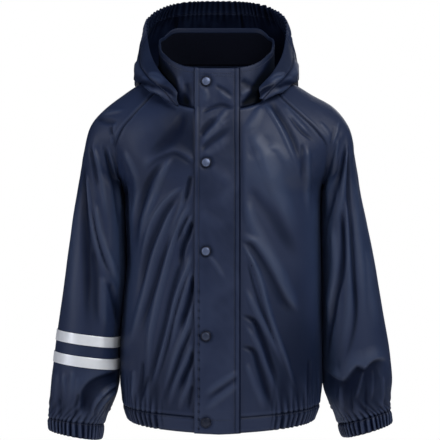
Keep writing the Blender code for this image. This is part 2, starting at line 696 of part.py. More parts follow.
def build_end(name, base, normals, strength, length, depths, cloth, side=1.0):
    """Gathered cuff or hem below a panel's stitch line."""
    trimmed = trim(base[-2:], top=True, first=True, last=True)
    gathered_band(name, trimmed, normals[-2:], strength, length, depths, cloth, side)


def build_body(cloth):
    """The fronts, the back and the sleeves with their gathered ends."""
    grids, normals = shape_panels()
    build_panel("back", grids["back"], normals["back"], cloth)
    whole = np.ones(COLUMNS["back"])
    build_end("hem_back", grids["back"], normals["back"], whole, HEM_WAVE, HEM_DEPTHS, cloth)
    for side, sign in SIDES.items():
        front, sleeve = f"front_{side}", f"sleeve_{side}"
        flat = HEM_FLAT_X[side]
        outer = smoothstep(flat, flat + 0.02, grids[front][-1, :, 0])
        whole = np.ones(COLUMNS["sleeve"])
        for name in (front, sleeve):
            build_panel(name, grids[name], normals[name], cloth, sign)
        build_end(f"hem_{front}", grids[front], normals[front], outer, HEM_WAVE, HEM_DEPTHS, cloth, sign)
        build_end(f"cuff_{side}", grids[sleeve], normals[sleeve], whole, CUFF_WAVE, CUFF_DEPTHS, cloth, sign)
    return grids["sleeve_right"], normals["sleeve_right"]


def build_tape(name, base, normals, levels, material):
    """Reflective tape round the wearer's right sleeve, made from the sleeve's own points."""
    push = fold_push("sleeve_right", base[:-1], normals[:-1])
    first, last = (int(np.argmin(abs(SLEEVE_LEVELS - level))) for level in levels)
    band = slice(first, last + 1)
    trimmed = trim(base, first=True, last=True)[band]
    inner = trimmed + normals[band] * (push[band, :, None] + LAY)
    outer = inner + normals[band] * TAPE_WALL
    mirror = np.array((SIDES["right"], 1.0, 1.0))
    wall_object(name, outer * mirror, inner * mirror, material)


def collar_grid(rises, angles):
    """Points of the collar's outer face, from the wearer's left front round the back to the right front."""
    left = [[ring_point(angle, rise) for angle in angles] for rise in rises]
    right = [[(-x, y, z) for x, y, z in line[-2::-1]] for line in left]
    return np.array([near + far for near, far in zip(left, right)])


def build_collar(cloth, lining):
    """Stand collar whose cloth turns over its top edge, and the dark lining inside it."""
    half = COLLAR_COLUMNS // 2 + 1
    start = math.degrees(COLLAR_FRONT_GAP / NECK_HALF_WIDTH)
    run = lengths_along(ring_line(start, 180.0))
    angles = np.interp(even_shares(half) * run[-1], run, np.linspace(start, 180.0, FINE))
    seam_rise = SEAM_GAP / COLLAR_HEIGHT
    rim_rise = 1.0 - COLLAR_RIM / COLLAR_HEIGHT
    outline = (
        (seam_rise, 0.0),
        (0.5, 0.0),
        (1.0 - 0.02, 0.0),
        (1.0, -WALL),
        (1.0 - 0.02, -2.0 * WALL),
        (rim_rise, -2.0 * WALL),
        (rim_rise, -WALL),
        (seam_rise, -WALL),
    )
    normals = grid_normals(collar_grid((1.0, 0.5, 0.0), angles))[1]
    grid = collar_grid([rise for rise, _ in outline], angles)
    offsets = np.array([offset for _, offset in outline])[:, None, None]
    swept_object("collar", np.swapaxes(shift_neck(grid + normals * offsets), 0, 1), cloth)
    inner_rise = rim_rise - SEAM_GAP / COLLAR_HEIGHT
    face = collar_grid((inner_rise, 0.5, seam_rise), angles) - normals * (WALL + SEAM_GAP)
    wall_object("collar_lining", shift_neck(face), shift_neck(face - normals * LINING_WALL), lining)


def swept_object(name, loops, material):
    """Closed outline swept through its places, with both ends filled."""
    builder = bmesh.new()
    rings = [[builder.verts.new(point) for point in loop] for loop in loops]
    for near, far in zip(rings[:-1], rings[1:]):
        for index in range(len(near)):
            following = (index + 1) % len(near)
            builder.faces.new((near[index], near[following], far[following], far[index]))
    builder.faces.new(rings[0])
    builder.faces.new(rings[-1])
    return finish_object(name, builder, material)


def hood_surface(places):
    """Hood from its opening edge over the band's stitch line to the neck seam; places run from 0 at the
    left front corner through 100 at the centre back to 200 at the right one."""
    lines, at = [], []
    for section in HOOD_SECTIONS:
        line = smooth_line(np.array(section[1:]) * MM)[::-1]
        run = lengths_along(line)[-1]
        band = min(HOOD_BAND, 0.45 * run)
        lines.append(along(line, np.append(0.0, np.linspace(band, run, HOOD_ROWS))))
        at.append(section.place)
    mirror = np.array((-1.0, 1.0, 1.0))
    lines += [line * mirror for line in lines[-2::-1]]
    at += [200.0 - place for place in at[-2::-1]]
    return np.swapaxes(loft(at, lines, places), 0, 1)


def build_hood(cloth):
    """Hood in three panels with a gathered edge."""
    marks = (HOOD_START["left"], HOOD_SEAM["left"], 200.0 - HOOD_SEAM["right"], 200.0 - HOOD_START["right"])
    names = ("hood_side_left", "hood_centre", "hood_side_right")
    counts = (COLUMNS["hood_side"], COLUMNS["hood_centre"], COLUMNS["hood_side"])
    spans = [np.linspace(*ends, count) for ends, count in zip(zip(marks[:-1], marks[1:]), counts)]
    places = np.concatenate([span[:-1] for span in spans] + [spans[-1][-1:]])
    whole = hood_surface(places)
    normals = grid_normals(whole)
    first = 0
    for name, count in zip(names, counts):
        part = slice(first, first + count)
        base = trim(whole[1:, part], top=True, first=True, last=True)
        cloth_piece(name, base, normals[1:, part], np.zeros(base.shape[:2]), cloth)
        first += count - 1
    strength = smoothstep(HOOD_WAVE_FROM, HOOD_WAVE_TO, whole[0, :, 2])
    edge = trim(whole[:2], bottom=True)
    gathered_band("hood_edge", edge, normals[:2], strength, HOOD_WAVE, HOOD_DEPTHS, cloth)


def flap_base():
    """Surface under the storm flap: the collar's front and then the fronts' points at the flap's columns."""
    columns = np.array((FLAP_FREE_X, FLAP_FREE_X / 2.0, 0.0, FLAP_SEWN_X / 2.0, FLAP_SEWN_X))
    collar_lines = [ring_line(0.0, 60.0, rise) for rise in (1.0, 0.66, 0.33)]
    levels = np.append(BODY_LEVELS, HEM_LEVEL)
    fronts = {side: panel_surface(FRONT_ROWS, side, levels, even_shares(FINE)) for side in SIDES}
    pairs = [{"right": line, "left": line} for line in collar_lines]
    pairs += [{side: fronts[side][index] for side in SIDES} for index in range(1, len(levels))]
    grid = []
    for pair in pairs:
        row = []
        for x in columns:
            line = pair["right" if x < 0 else "left"]
            row.append([x] + [np.interp(abs(x), line[:, 0], line[:, axis]) for axis in (1, 2)])
        grid.append(row)
    return np.array(grid)


def build_flap_and_studs(cloth, metal):
    """Storm flap over the closing, and the caps of its press studs."""
    base = flap_base()
    push = fold_height(base[..., 0], base[..., 2], FOLDS["flap"])
    lift = FLAP_LAY + FLAP_WALL
    normals = grid_normals(base)
    outer = base + normals * (push[..., None] + lift)
    wall_object("storm_flap", outer, outer - normals * FLAP_WALL, cloth)
    column = 1
    heights = outer[:, column, 2]
    for number, z in enumerate(STUD_Z, start=1):
        seat = np.array([np.interp(-z, -heights, outer[:, column, axis]) for axis in range(3)])
        normal = np.array([np.interp(-z, -heights, normals[:, column, axis]) for axis in range(3)])
        build_stud(f"snap_{number}", seat + normal * STUD_SEAT, normal, metal)


def build_stud(name, seat, normal, metal):
    """Turned cap of a press stud, standing on its seat."""
    builder = bmesh.new()
    profile = [builder.verts.new((radius * MM, 0.0, height * MM)) for radius, height in STUD_PROFILE]
    edges = [builder.edges.new(pair) for pair in zip(profile[:-1], profile[1:])]
    bmesh.ops.spin(
        builder,
        geom=profile + edges,
        cent=(0.0, 0.0, 0.0),
        axis=(0.0, 0.0, 1.0),
        angle=2.0 * math.pi,
        steps=STUD_STEPS,
    )
    bmesh.ops.remove_doubles(builder, verts=builder.verts, dist=0.00001)
    piece = finish_object(name, builder, metal)
    piece.location = seat
    tilt_x = math.atan2(-normal[1], normal[2])
    tilt_y = math.asin(normal[0] / np.linalg.norm(normal))
    piece.rotation_mode = "XYZ"
    piece.rotation_euler = (tilt_x, tilt_y, 0.0)
    return piece


def main():
    """Clear the scene and build the coat."""
    for piece in list(bpy.data.objects):
        bpy.data.objects.remove(piece, do_unlink=True)
    cloth = cloth_material("navy_coated_satin", (0.021, 0.031, 0.058), 0.38)
    lining = cloth_material("dark_brushed_lining", (0.006, 0.008, 0.016), 0.85)
    tape = cloth_material("silver_reflective_tape", (0.55, 0.56, 0.57), 0.45)
    metal = cloth_material("dark_painted_stud", (0.05, 0.06, 0.085), 0.32, metallic=0.6)
    sleeve, sleeve_normals = build_body(cloth)
    build_collar(cloth, lining)
    build_hood(cloth)
    build_flap_and_studs(cloth, metal)
    for name, levels in TAPES.items():
        build_tape(name, sleeve, sleeve_normals, levels, tape)


main()
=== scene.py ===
"""Looks of the kids raincoat: coated satin shell, brushed lining, reflective tapes, press studs and sewing.

Metres, +Z up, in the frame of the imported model: the coat's front faces -Y and the wearer's left is +X.
Tables of sizes are in millimetres and degrees, by name. Side panels are worked out with x positive outwards
and then mirrored for the wearer's right. Each panel is a fine shell over the form of its solid, with creases
placed one by one, gathers along the elasticated edges, rolled seam edges and rows of stitches.
"""

import logging
import math
from collections.abc import Callable, Sequence
from dataclasses import dataclass, field
from enum import Enum
from typing import ClassVar

import bmesh
import bpy
import numpy as np
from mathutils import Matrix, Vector


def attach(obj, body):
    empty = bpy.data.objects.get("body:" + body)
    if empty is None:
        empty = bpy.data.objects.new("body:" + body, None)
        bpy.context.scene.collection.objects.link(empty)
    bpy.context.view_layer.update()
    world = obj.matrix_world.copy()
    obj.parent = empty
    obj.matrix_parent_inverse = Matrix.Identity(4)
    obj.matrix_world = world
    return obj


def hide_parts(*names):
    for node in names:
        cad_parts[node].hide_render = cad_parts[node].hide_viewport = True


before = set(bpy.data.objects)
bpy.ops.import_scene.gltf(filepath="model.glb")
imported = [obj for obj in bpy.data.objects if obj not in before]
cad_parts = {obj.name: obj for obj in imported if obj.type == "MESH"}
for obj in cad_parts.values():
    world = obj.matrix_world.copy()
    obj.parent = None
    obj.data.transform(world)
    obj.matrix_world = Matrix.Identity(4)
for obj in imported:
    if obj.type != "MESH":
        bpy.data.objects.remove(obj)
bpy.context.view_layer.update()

MM = 0.001
BODY = "root"
LOG = logging.getLogger("raincoat")
Array = np.ndarray


class Side(Enum):
    """The wearer's sides, with the sign of their x."""

    RIGHT = -1.0
    LEFT = 1.0

    @property
    def word(self) -> str:
        """The side's name as the pieces use it."""
        return self.name.lower()

    @property
    def mirror(self) -> Array:
        """Factors that turn a panel with x outwards to this side."""
        return np.array((self.value, 1.0, 1.0))


class Held(Enum):
    """How a piece of cloth is held in the coat."""

    GATHERED = "gathered"
    FOLDED = "folded"
    LAID = "laid"
    HUNG = "hung"


@dataclass(frozen=True)
class Cut:
    """What a piece was cut to before it was sewn, for what shows of it; millimetres and square metres."""

    width: float
    length: float
    held: Held
    rests_on: tuple
    area: float | None = None

    def declare(self, piece: bpy.types.Object) -> None:
        """Do nothing; the cut is kept only in this table.

        Args:
            piece: the piece; not used.
        """


BODY_NEIGHBOURS = ("collar", "sleeve_right", "sleeve_left")
CUTS = {
    "front_right": Cut(224, 512, Held.HUNG, ("sleeve_right", "collar"), 0.0885),
    "front_left": Cut(226, 518, Held.HUNG, ("sleeve_left", "collar"), 0.0890),
    "back": Cut(470, 538, Held.HUNG, BODY_NEIGHBOURS, 0.1800),
    "sleeve_right": Cut(336, 576, Held.HUNG, ("front_right", "back"), 0.1420),
    "sleeve_left": Cut(336, 578, Held.HUNG, ("front_left", "back"), 0.1395),
    "cuff_right": Cut(390, 24, Held.GATHERED, ("sleeve_right",)),
    "cuff_left": Cut(384, 24, Held.GATHERED, ("sleeve_left",)),
    "hem_front_right": Cut(228, 25, Held.GATHERED, ("front_right",)),
    "hem_front_left": Cut(230, 25, Held.GATHERED, ("front_left",)),
    "hem_back": Cut(490, 25, Held.GATHERED, ("back",)),
    "tape_upper": Cut(324, 15, Held.LAID, ("sleeve_right",)),
    "tape_lower": Cut(319, 15, Held.LAID, ("sleeve_right",)),
    "collar": Cut(570, 65, Held.FOLDED, ("back", "front_right", "front_left"), 0.0345),
    "collar_lining": Cut(552, 50, Held.LAID, ("collar",), 0.0231),
    "hood_side_right": Cut(300, 240, Held.HUNG, ("collar",), 0.0272),
    "hood_centre": Cut(118, 257, Held.HUNG, ("collar",), 0.0272),
    "hood_side_left": Cut(308, 252, Held.HUNG, ("collar",), 0.0323),
    "hood_edge": Cut(820, 21, Held.GATHERED, ("hood_side_right", "hood_centre", "hood_side_left")),
    "storm_flap": Cut(69, 522, Held.HUNG, ("front_left", "collar"), 0.0340),
}


# Lines, surfaces and smooth noise


def smoothstep(low: float, high: float, value: Array) -> Array:
    """Go smoothly from 0 at low to 1 at high; low may be the larger one."""
    share = np.clip((np.asarray(value, dtype=float) - low) / (high - low), 0.0, 1.0)
    return share * share * (3.0 - 2.0 * share)


def window(value: Array, start: float, full: float, last: float, end: float) -> Array:
    """Rise from 0 at start to 1 at full, and go back from 1 at last to 0 at end."""
    return smoothstep(start, full, value) * smoothstep(end, last, value)


def bezier(
    start: Sequence, start_handle: Sequence, end_handle: Sequence, end: Sequence, count: int
) -> Array:
    """Points along a cubic curve.

    Args:
        start: first point.
        start_handle: its handle.
        end_handle: the last point's handle.
        end: last point.
        count: how many points to give.

    Returns:
        An array of count points.
    """
    at = np.linspace(0.0, 1.0, count)[:, None]
    rest = 1.0 - at
    return (
        rest**3 * np.array(start)
        + 3.0 * rest**2 * at * np.array(start_handle)
        + 3.0 * rest * at**2 * np.array(end_handle)
        + at**3 * np.array(end)
    )


def lengths_along(points: Array) -> Array:
    """Distance of each point from the first, measured along the line."""
    steps = np.linalg.norm(np.diff(points, axis=0), axis=1)
    return np.concatenate([[0.0], np.cumsum(steps)])


def along(points: Array, places: Array) -> Array:
    """Read a line of points at distances from its start."""
    run = lengths_along(points)
    return np.stack([np.interp(places, run, points[:, axis]) for axis in range(points.shape[1])], axis=1)


def divide(points: Array, shares: Array) -> Array:
    """Read a line of points at shares of its length."""
    return along(points, np.asarray(shares) * lengths_along(points)[-1])


def loft(levels: Sequence, lines: Sequence, at: Sequence) -> Array:
    """Smooth surface through key lines, with limited tangents so that it never overshoots them.

    Args:
        levels: the level of each key line.
        lines: the key lines, all with as many points.
        at: the levels at which the surface is read.

    Returns:
        A grid with one row for each level in at.
    """
    levels, lines, at = np.asarray(levels, float), np.asarray(lines, float), np.asarray(at, float)
    steps = np.diff(levels)
    wide = steps[:, None, None]
    slopes = np.diff(lines, axis=0) / wide
    inner = (slopes[1:] * wide[:-1] + slopes[:-1] * wide[1:]) / (wide[1:] + wide[:-1])
    limit = 3.0 * np.minimum(abs(slopes[1:]), abs(slopes[:-1])) * (slopes[1:] * slopes[:-1] > 0.0)
    tangents = np.concatenate([slopes[:1], np.clip(inner, -limit, limit), slopes[-1:]])
    index = np.clip(np.searchsorted(levels, at, side="right") - 1, 0, len(steps) - 1)
    share = ((at - levels[index]) / steps[index])[:, None, None]
    span = wide[index]
    return (
        (1 + 2 * share) * (1 - share) ** 2 * lines[index]
        + share * (1 - share) ** 2 * span * tangents[index]
        + share**2 * (3 - 2 * share) * lines[index + 1]
        + share**2 * (share - 1) * span * tangents[index + 1]
    )


def smooth_line(points: Sequence, count: int) -> Array:
    """Smooth line of count points through a few points."""
    points = np.asarray(points, dtype=float)
    run = lengths_along(points)
    return loft(run, points[:, None, :], np.linspace(0.0, run[-1], count))[:, 0, :]


def unit(vectors: Array) -> Array:
    """Vectors made one long."""
    return vectors / np.maximum(np.linalg.norm(vectors, axis=-1, keepdims=True), 1e-12)


def grid_normals(grid: Array) -> Array:
    """Unit normals of a grid whose rows run down and whose columns run anticlockwise from above."""
    return unit(np.cross(np.gradient(grid, axis=0), np.gradient(grid, axis=1)))


def row_runs(grid: Array) -> Array:
    """Distance of each point of a grid from the first column, along its row."""
    steps = np.linalg.norm(np.diff(grid, axis=1), axis=2)
    return np.concatenate([np.zeros((grid.shape[0], 1)), np.cumsum(steps, axis=1)], axis=1)


def column_runs(grid: Array) -> Array:
    """Distance of each point of a grid from the first row, along its column."""
    return row_runs(np.swapaxes(grid, 0, 1)).T


def rows_at(grid: Array, levels: Array, at: Array) -> Array:
    """Read a grid between its rows.

    Args:
        grid: the grid, with its values along the last axis.
        levels: the level of each row.
        at: the levels to read.

    Returns:
        A grid with one row for each level in at.
    """
    index = np.clip(np.searchsorted(levels, at, side="right") - 1, 0, len(levels) - 2)
    share = ((at - levels[index]) / (levels[index + 1] - levels[index]))[:, None, None]
    return grid[index] * (1.0 - share) + grid[index + 1] * share


def spaced(length: float, spacing: float, edge: float = 0.0) -> Array:
    """Shares that divide a length evenly, with closer ones near both ends for a rolled edge.

    Args:
        length: the length to divide, in metres.
        spacing: the widest step, in metres.
        edge: how far from each end the closer steps reach, in metres; 0 for none.

    Returns:
        An odd number of shares from 0 to 1, so that every second one keeps both ends.
    """
    near = edge * np.array((0.0, 0.2, 0.45, 0.72)) if edge else np.zeros(1)
    count = max(3, int(round((length - 2.0 * edge) / spacing)) + 1)
    middle = np.linspace(edge, length - edge, count + (count + 2 * (len(near) if edge else 0) + 1) % 2)
    places = np.concatenate([near, middle, length - near[::-1]]) if edge else middle
    return places / length


class SmoothNoise:
    """Repeatable smooth noise over two coordinates, about -0.7 to 0.7."""

    CELLS = 64

    def __init__(self, seed: int) -> None:
        """Fill the lattice of slopes from a seed."""
        angles = np.random.default_rng(seed).uniform(0.0, 2.0 * math.pi, (self.CELLS, self.CELLS))
        self.slopes = np.stack([np.cos(angles), np.sin(angles)], axis=-1)

    def at(self, across: Array, down: Array) -> Array:
        """Read the noise.

        Args:
            across: first coordinate, in cells.
            down: second coordinate, in cells.

        Returns:
            The noise, in the shape of the coordinates.
        """
        across, down = np.broadcast_arrays(np.asarray(across, float), np.asarray(down, float))
        column, row = np.floor(across).astype(int), np.floor(down).astype(int)
        part_x, part_y = across - column, down - row
        ease_x = part_x**3 * (part_x * (part_x * 6 - 15) + 10)
        ease_y = part_y**3 * (part_y * (part_y * 6 - 15) + 10)

        def corner(right: int, below: int) -> Array:
            slope = self.slopes[(row + below) % self.CELLS, (column + right) % self.CELLS]
            return slope[..., 0] * (part_x - right) + slope[..., 1] * (part_y - below)

        top = corner(0, 0) + ease_x * (corner(1, 0) - corner(0, 0))
        bottom = corner(0, 1) + ease_x * (corner(1, 1) - corner(0, 1))
        return top + ease_y * (bottom - top)


# The coat's form: the same key lines as its solids


@dataclass(frozen=True)
class PanelRow:
    """Key line of a front or half back, from the middle to its outer edge; millimetres and degrees."""

    level: float
    middle_y: float
    middle_z: float
    edge_y: float
    edge_z: float
    right_x: float
    left_x: float
    heading: float
    reach: float

    def edge_x(self, side: Side) -> float:
        """How far out the line ends on one side."""
        return self.right_x if side is Side.RIGHT else self.left_x


@dataclass(frozen=True)
class RidgeRow:
    """Top of a key line over the sleeve's shoulder part; millimetres and degrees."""

    level: float
    x: float
    y: float
    z: float
    heading_front: float
    heading_back: float
    reach_seam: float
    reach_ridge: float


@dataclass(frozen=True)
class TubeRow:
    """Key line round the sleeve below the underarm; millimetres."""

    level: float
    outer_x: float
    outer_z: float
    inner_x: float
    inner_z: float
    half_depth: float
    middle_y: float


FRONT_ROWS = (
    PanelRow(27, -90.5, -52, -57, -21, 98, 96, 48, 30),
    PanelRow(57, -95.5, -70, -67, -43, 119, 118, 42, 36),
    PanelRow(87, -99.5, -88, -69, -66, 138, 139, 40, 40),
    PanelRow(115, -103, -108, -61, -92, 146.5, 153.5, 52, 45),
    PanelRow(150, -106, -132, -38, -123, 144.5, 152, 70, 55),
    PanelRow(187, -108, -158, 0, -154, 137, 147, 90, 68),
    PanelRow(230, -108.8, -200, 0, -198, 134.5, 146.7, 90, 69),
    PanelRow(279, -109.5, -250, 0, -246, 133, 147.6, 90, 69),
    PanelRow(328, -110.5, -300, 0, -294, 137, 148, 90, 70),
    PanelRow(377, -111.5, -350, 0, -342, 141.2, 148.5, 90, 71),
    PanelRow(426, -111.5, -400, 0, -390, 142.8, 149, 90, 71),
    PanelRow(457, -110.5, -432.5, 0, -421.5, 142.5, 149, 90, 70),
    PanelRow(475, -108.5, -451.5, 0, -440.5, 140.5, 147.5, 90, 69),
    PanelRow(490, -106.5, -467.5, 0, -456, 138, 145, 90, 67),
    PanelRow(512, -104.5, -489.2, 0, -478.5, 130, 136.5, 90, 64),
)
BACK_ROWS = (
    PanelRow(27, 72, 20, 40, 10, 100, 99, 50, 28),
    PanelRow(57, 80.5, -4, 53, -12, 118, 118, 45, 34),
    PanelRow(87, 87.5, -32, 60, -40, 132, 134, 42, 38),
    PanelRow(115, 93, -66, 56, -75, 140, 147, 50, 42),
    PanelRow(150, 96.5, -110, 36, -116, 141, 149.5, 68, 50),
    PanelRow(187, 98, -157, 0, -154, 137, 147, 90, 62),
    PanelRow(230, 97.5, -200, 0, -198, 134.5, 146.7, 90, 61),
    PanelRow(279, 94, -250, 0, -246, 133, 147.6, 90, 60),
    PanelRow(328, 93, -299, 0, -294, 137, 148, 90, 60),
    PanelRow(377, 94.5, -348, 0, -342, 141.2, 148.5, 90, 60),
    PanelRow(426, 96.5, -397, 0, -390, 142.8, 149, 90, 61),
    PanelRow(457, 96, -429, 0, -421.5, 142.5, 149, 90, 61),
    PanelRow(475, 93.5, -447, 0, -440.5, 140.5, 147.5, 90, 60),
    PanelRow(490, 91, -462.5, 0, -456, 138, 145, 90, 58),
    PanelRow(512, 88, -485, 0, -478.5, 130, 136.5, 90, 55),
)
RIDGE_ROWS = {
    Side.RIGHT: (
        RidgeRow(27, 108, -4, 6.5, 52, 55, 24, 24),
        RidgeRow(57, 135, 0, -11.5, 42, 45, 28, 32),
        RidgeRow(87, 162.5, 1, -32, 30, 32, 32, 38),
        RidgeRow(115, 183.5, 1, -55, 4, 6, 34, 44),
        RidgeRow(150, 195.5, 1, -94, -48, -45, 46, 56),
    ),
    Side.LEFT: (
        RidgeRow(27, 108, -4, 7, 52, 55, 24, 24),
        RidgeRow(57, 137.5, 0, -10.5, 42, 45, 28, 32),
        RidgeRow(87, 169, 1, -28.5, 30, 32, 32, 36),
        RidgeRow(115, 187, 1, -53, 4, 6, 34, 42),
        RidgeRow(150, 195.5, 1, -94, -48, -45, 46, 56),
    ),
}
TUBE_ROWS = {
    Side.RIGHT: (
        TubeRow(187, 204, -146, 138.6, -154, 54, 0),
        TubeRow(233, 212.3, -195, 136.3, -202, 56, 0),
        TubeRow(286, 220, -249, 135.3, -257, 56.5, -1),
        TubeRow(336, 226.2, -298, 139.3, -307, 55, -3),
        TubeRow(388, 232.8, -348.5, 145, -360, 52, -6),
        TubeRow(435, 238.5, -395, 146.4, -407, 48, -9),
        TubeRow(465, 242.5, -425, 147.6, -437, 44, -12),
        TubeRow(492, 244.5, -452, 156, -462, 36, -15),
        TubeRow(517, 244.5, -475.4, 167.5, -486, 27, -17),
        TubeRow(539, 242.5, -494.5, 171.5, -508.5, 25.5, -18),
    ),
    Side.LEFT: (
        TubeRow(187, 204, -146, 148.6, -154, 54, 0),
        TubeRow(233, 213.9, -195, 148.5, -202, 56, 0),
        TubeRow(286, 224.5, -249, 149.3, -257, 56.5, -1),
        TubeRow(336, 232.8, -298, 149.8, -307, 55, -3),
        TubeRow(388, 240.7, -347, 150.4, -360, 52, -6),
        TubeRow(435, 247.5, -393, 151.6, -405, 48, -9),
        TubeRow(465, 250, -422, 153.6, -437, 44, -12),
        TubeRow(492, 247.5, -448, 161.5, -461, 36, -15),
        TubeRow(517, 246, -465, 173, -485, 27, -17),
        TubeRow(539, 247.5, -484.5, 180.5, -505.5, 25.5, -18),
    ),
}


@dataclass(frozen=True)
class HoodSection:
    """Section of the hood from the neck seam out over the shoulder and up to its edge; millimetres."""

    place: float
    neck: tuple
    low: tuple
    floor: tuple
    turn: tuple
    wall: tuple
    top: tuple
    edge: tuple

    def points(self) -> list:
        """The section's points from the opening edge down to the neck."""
        return [self.edge, self.top, self.wall, self.turn, self.floor, self.low, self.neck]


HOOD_SECTIONS = (
    HoodSection(
        0, (49, -86, -38), (51, -87.2, -38), (53, -88.6, -37), (54.5, -89.8, -34.5),
        (53.5, -90.4, -31), (51, -90.4, -28.5), (48, -90, -27),
    ),
    HoodSection(
        12, (69, -69.5, -16.5), (74.5, -73.5, -19.5), (80, -75, -18), (83, -76.5, -13),
        (79, -79, -8), (68, -80.5, -7), (57, -81.5, -8.5),
    ),
    HoodSection(
        26, (77.5, -52, -4), (88, -54, -6), (98, -53, -5), (104, -50, 0.5),
        (102.5, -49, 9), (92.5, -51, 15.5), (80, -54.5, 19),
    ),
    HoodSection(
        42, (84.5, -11, 20.0), (98.5, -9, 17), (112, -6, 11), (119.5, -4, 13),
        (118, -4, 27), (109.5, -7, 43), (97, -10, 54),
    ),
    HoodSection(
        58, (83.5, 31.5, 34), (99, 38, 19), (113.5, 43, 4), (120.5, 45, 7),
        (118, 44, 38), (111, 40, 70), (103, 35, 98),
    ),
    HoodSection(
        72, (73, 50.5, 39.5), (89.5, 68, 14), (104.5, 88, -9), (112.5, 100, 0),
        (112, 100, 40), (101, 88, 85), (83, 72, 123.5),
    ),
    HoodSection(
        86, (42, 62.5, 41), (50, 83, 9), (58, 111, -22), (62, 132, -8),
        (62, 132, 42), (56, 112, 93), (48, 88, 135.5),
    ),
    HoodSection(
        100, (0, 65.5, 42), (0, 87, 7), (0, 115, -26), (0, 140, -8),
        (0, 139, 45), (0, 118, 98), (0, 92, 137.6),
    ),
)


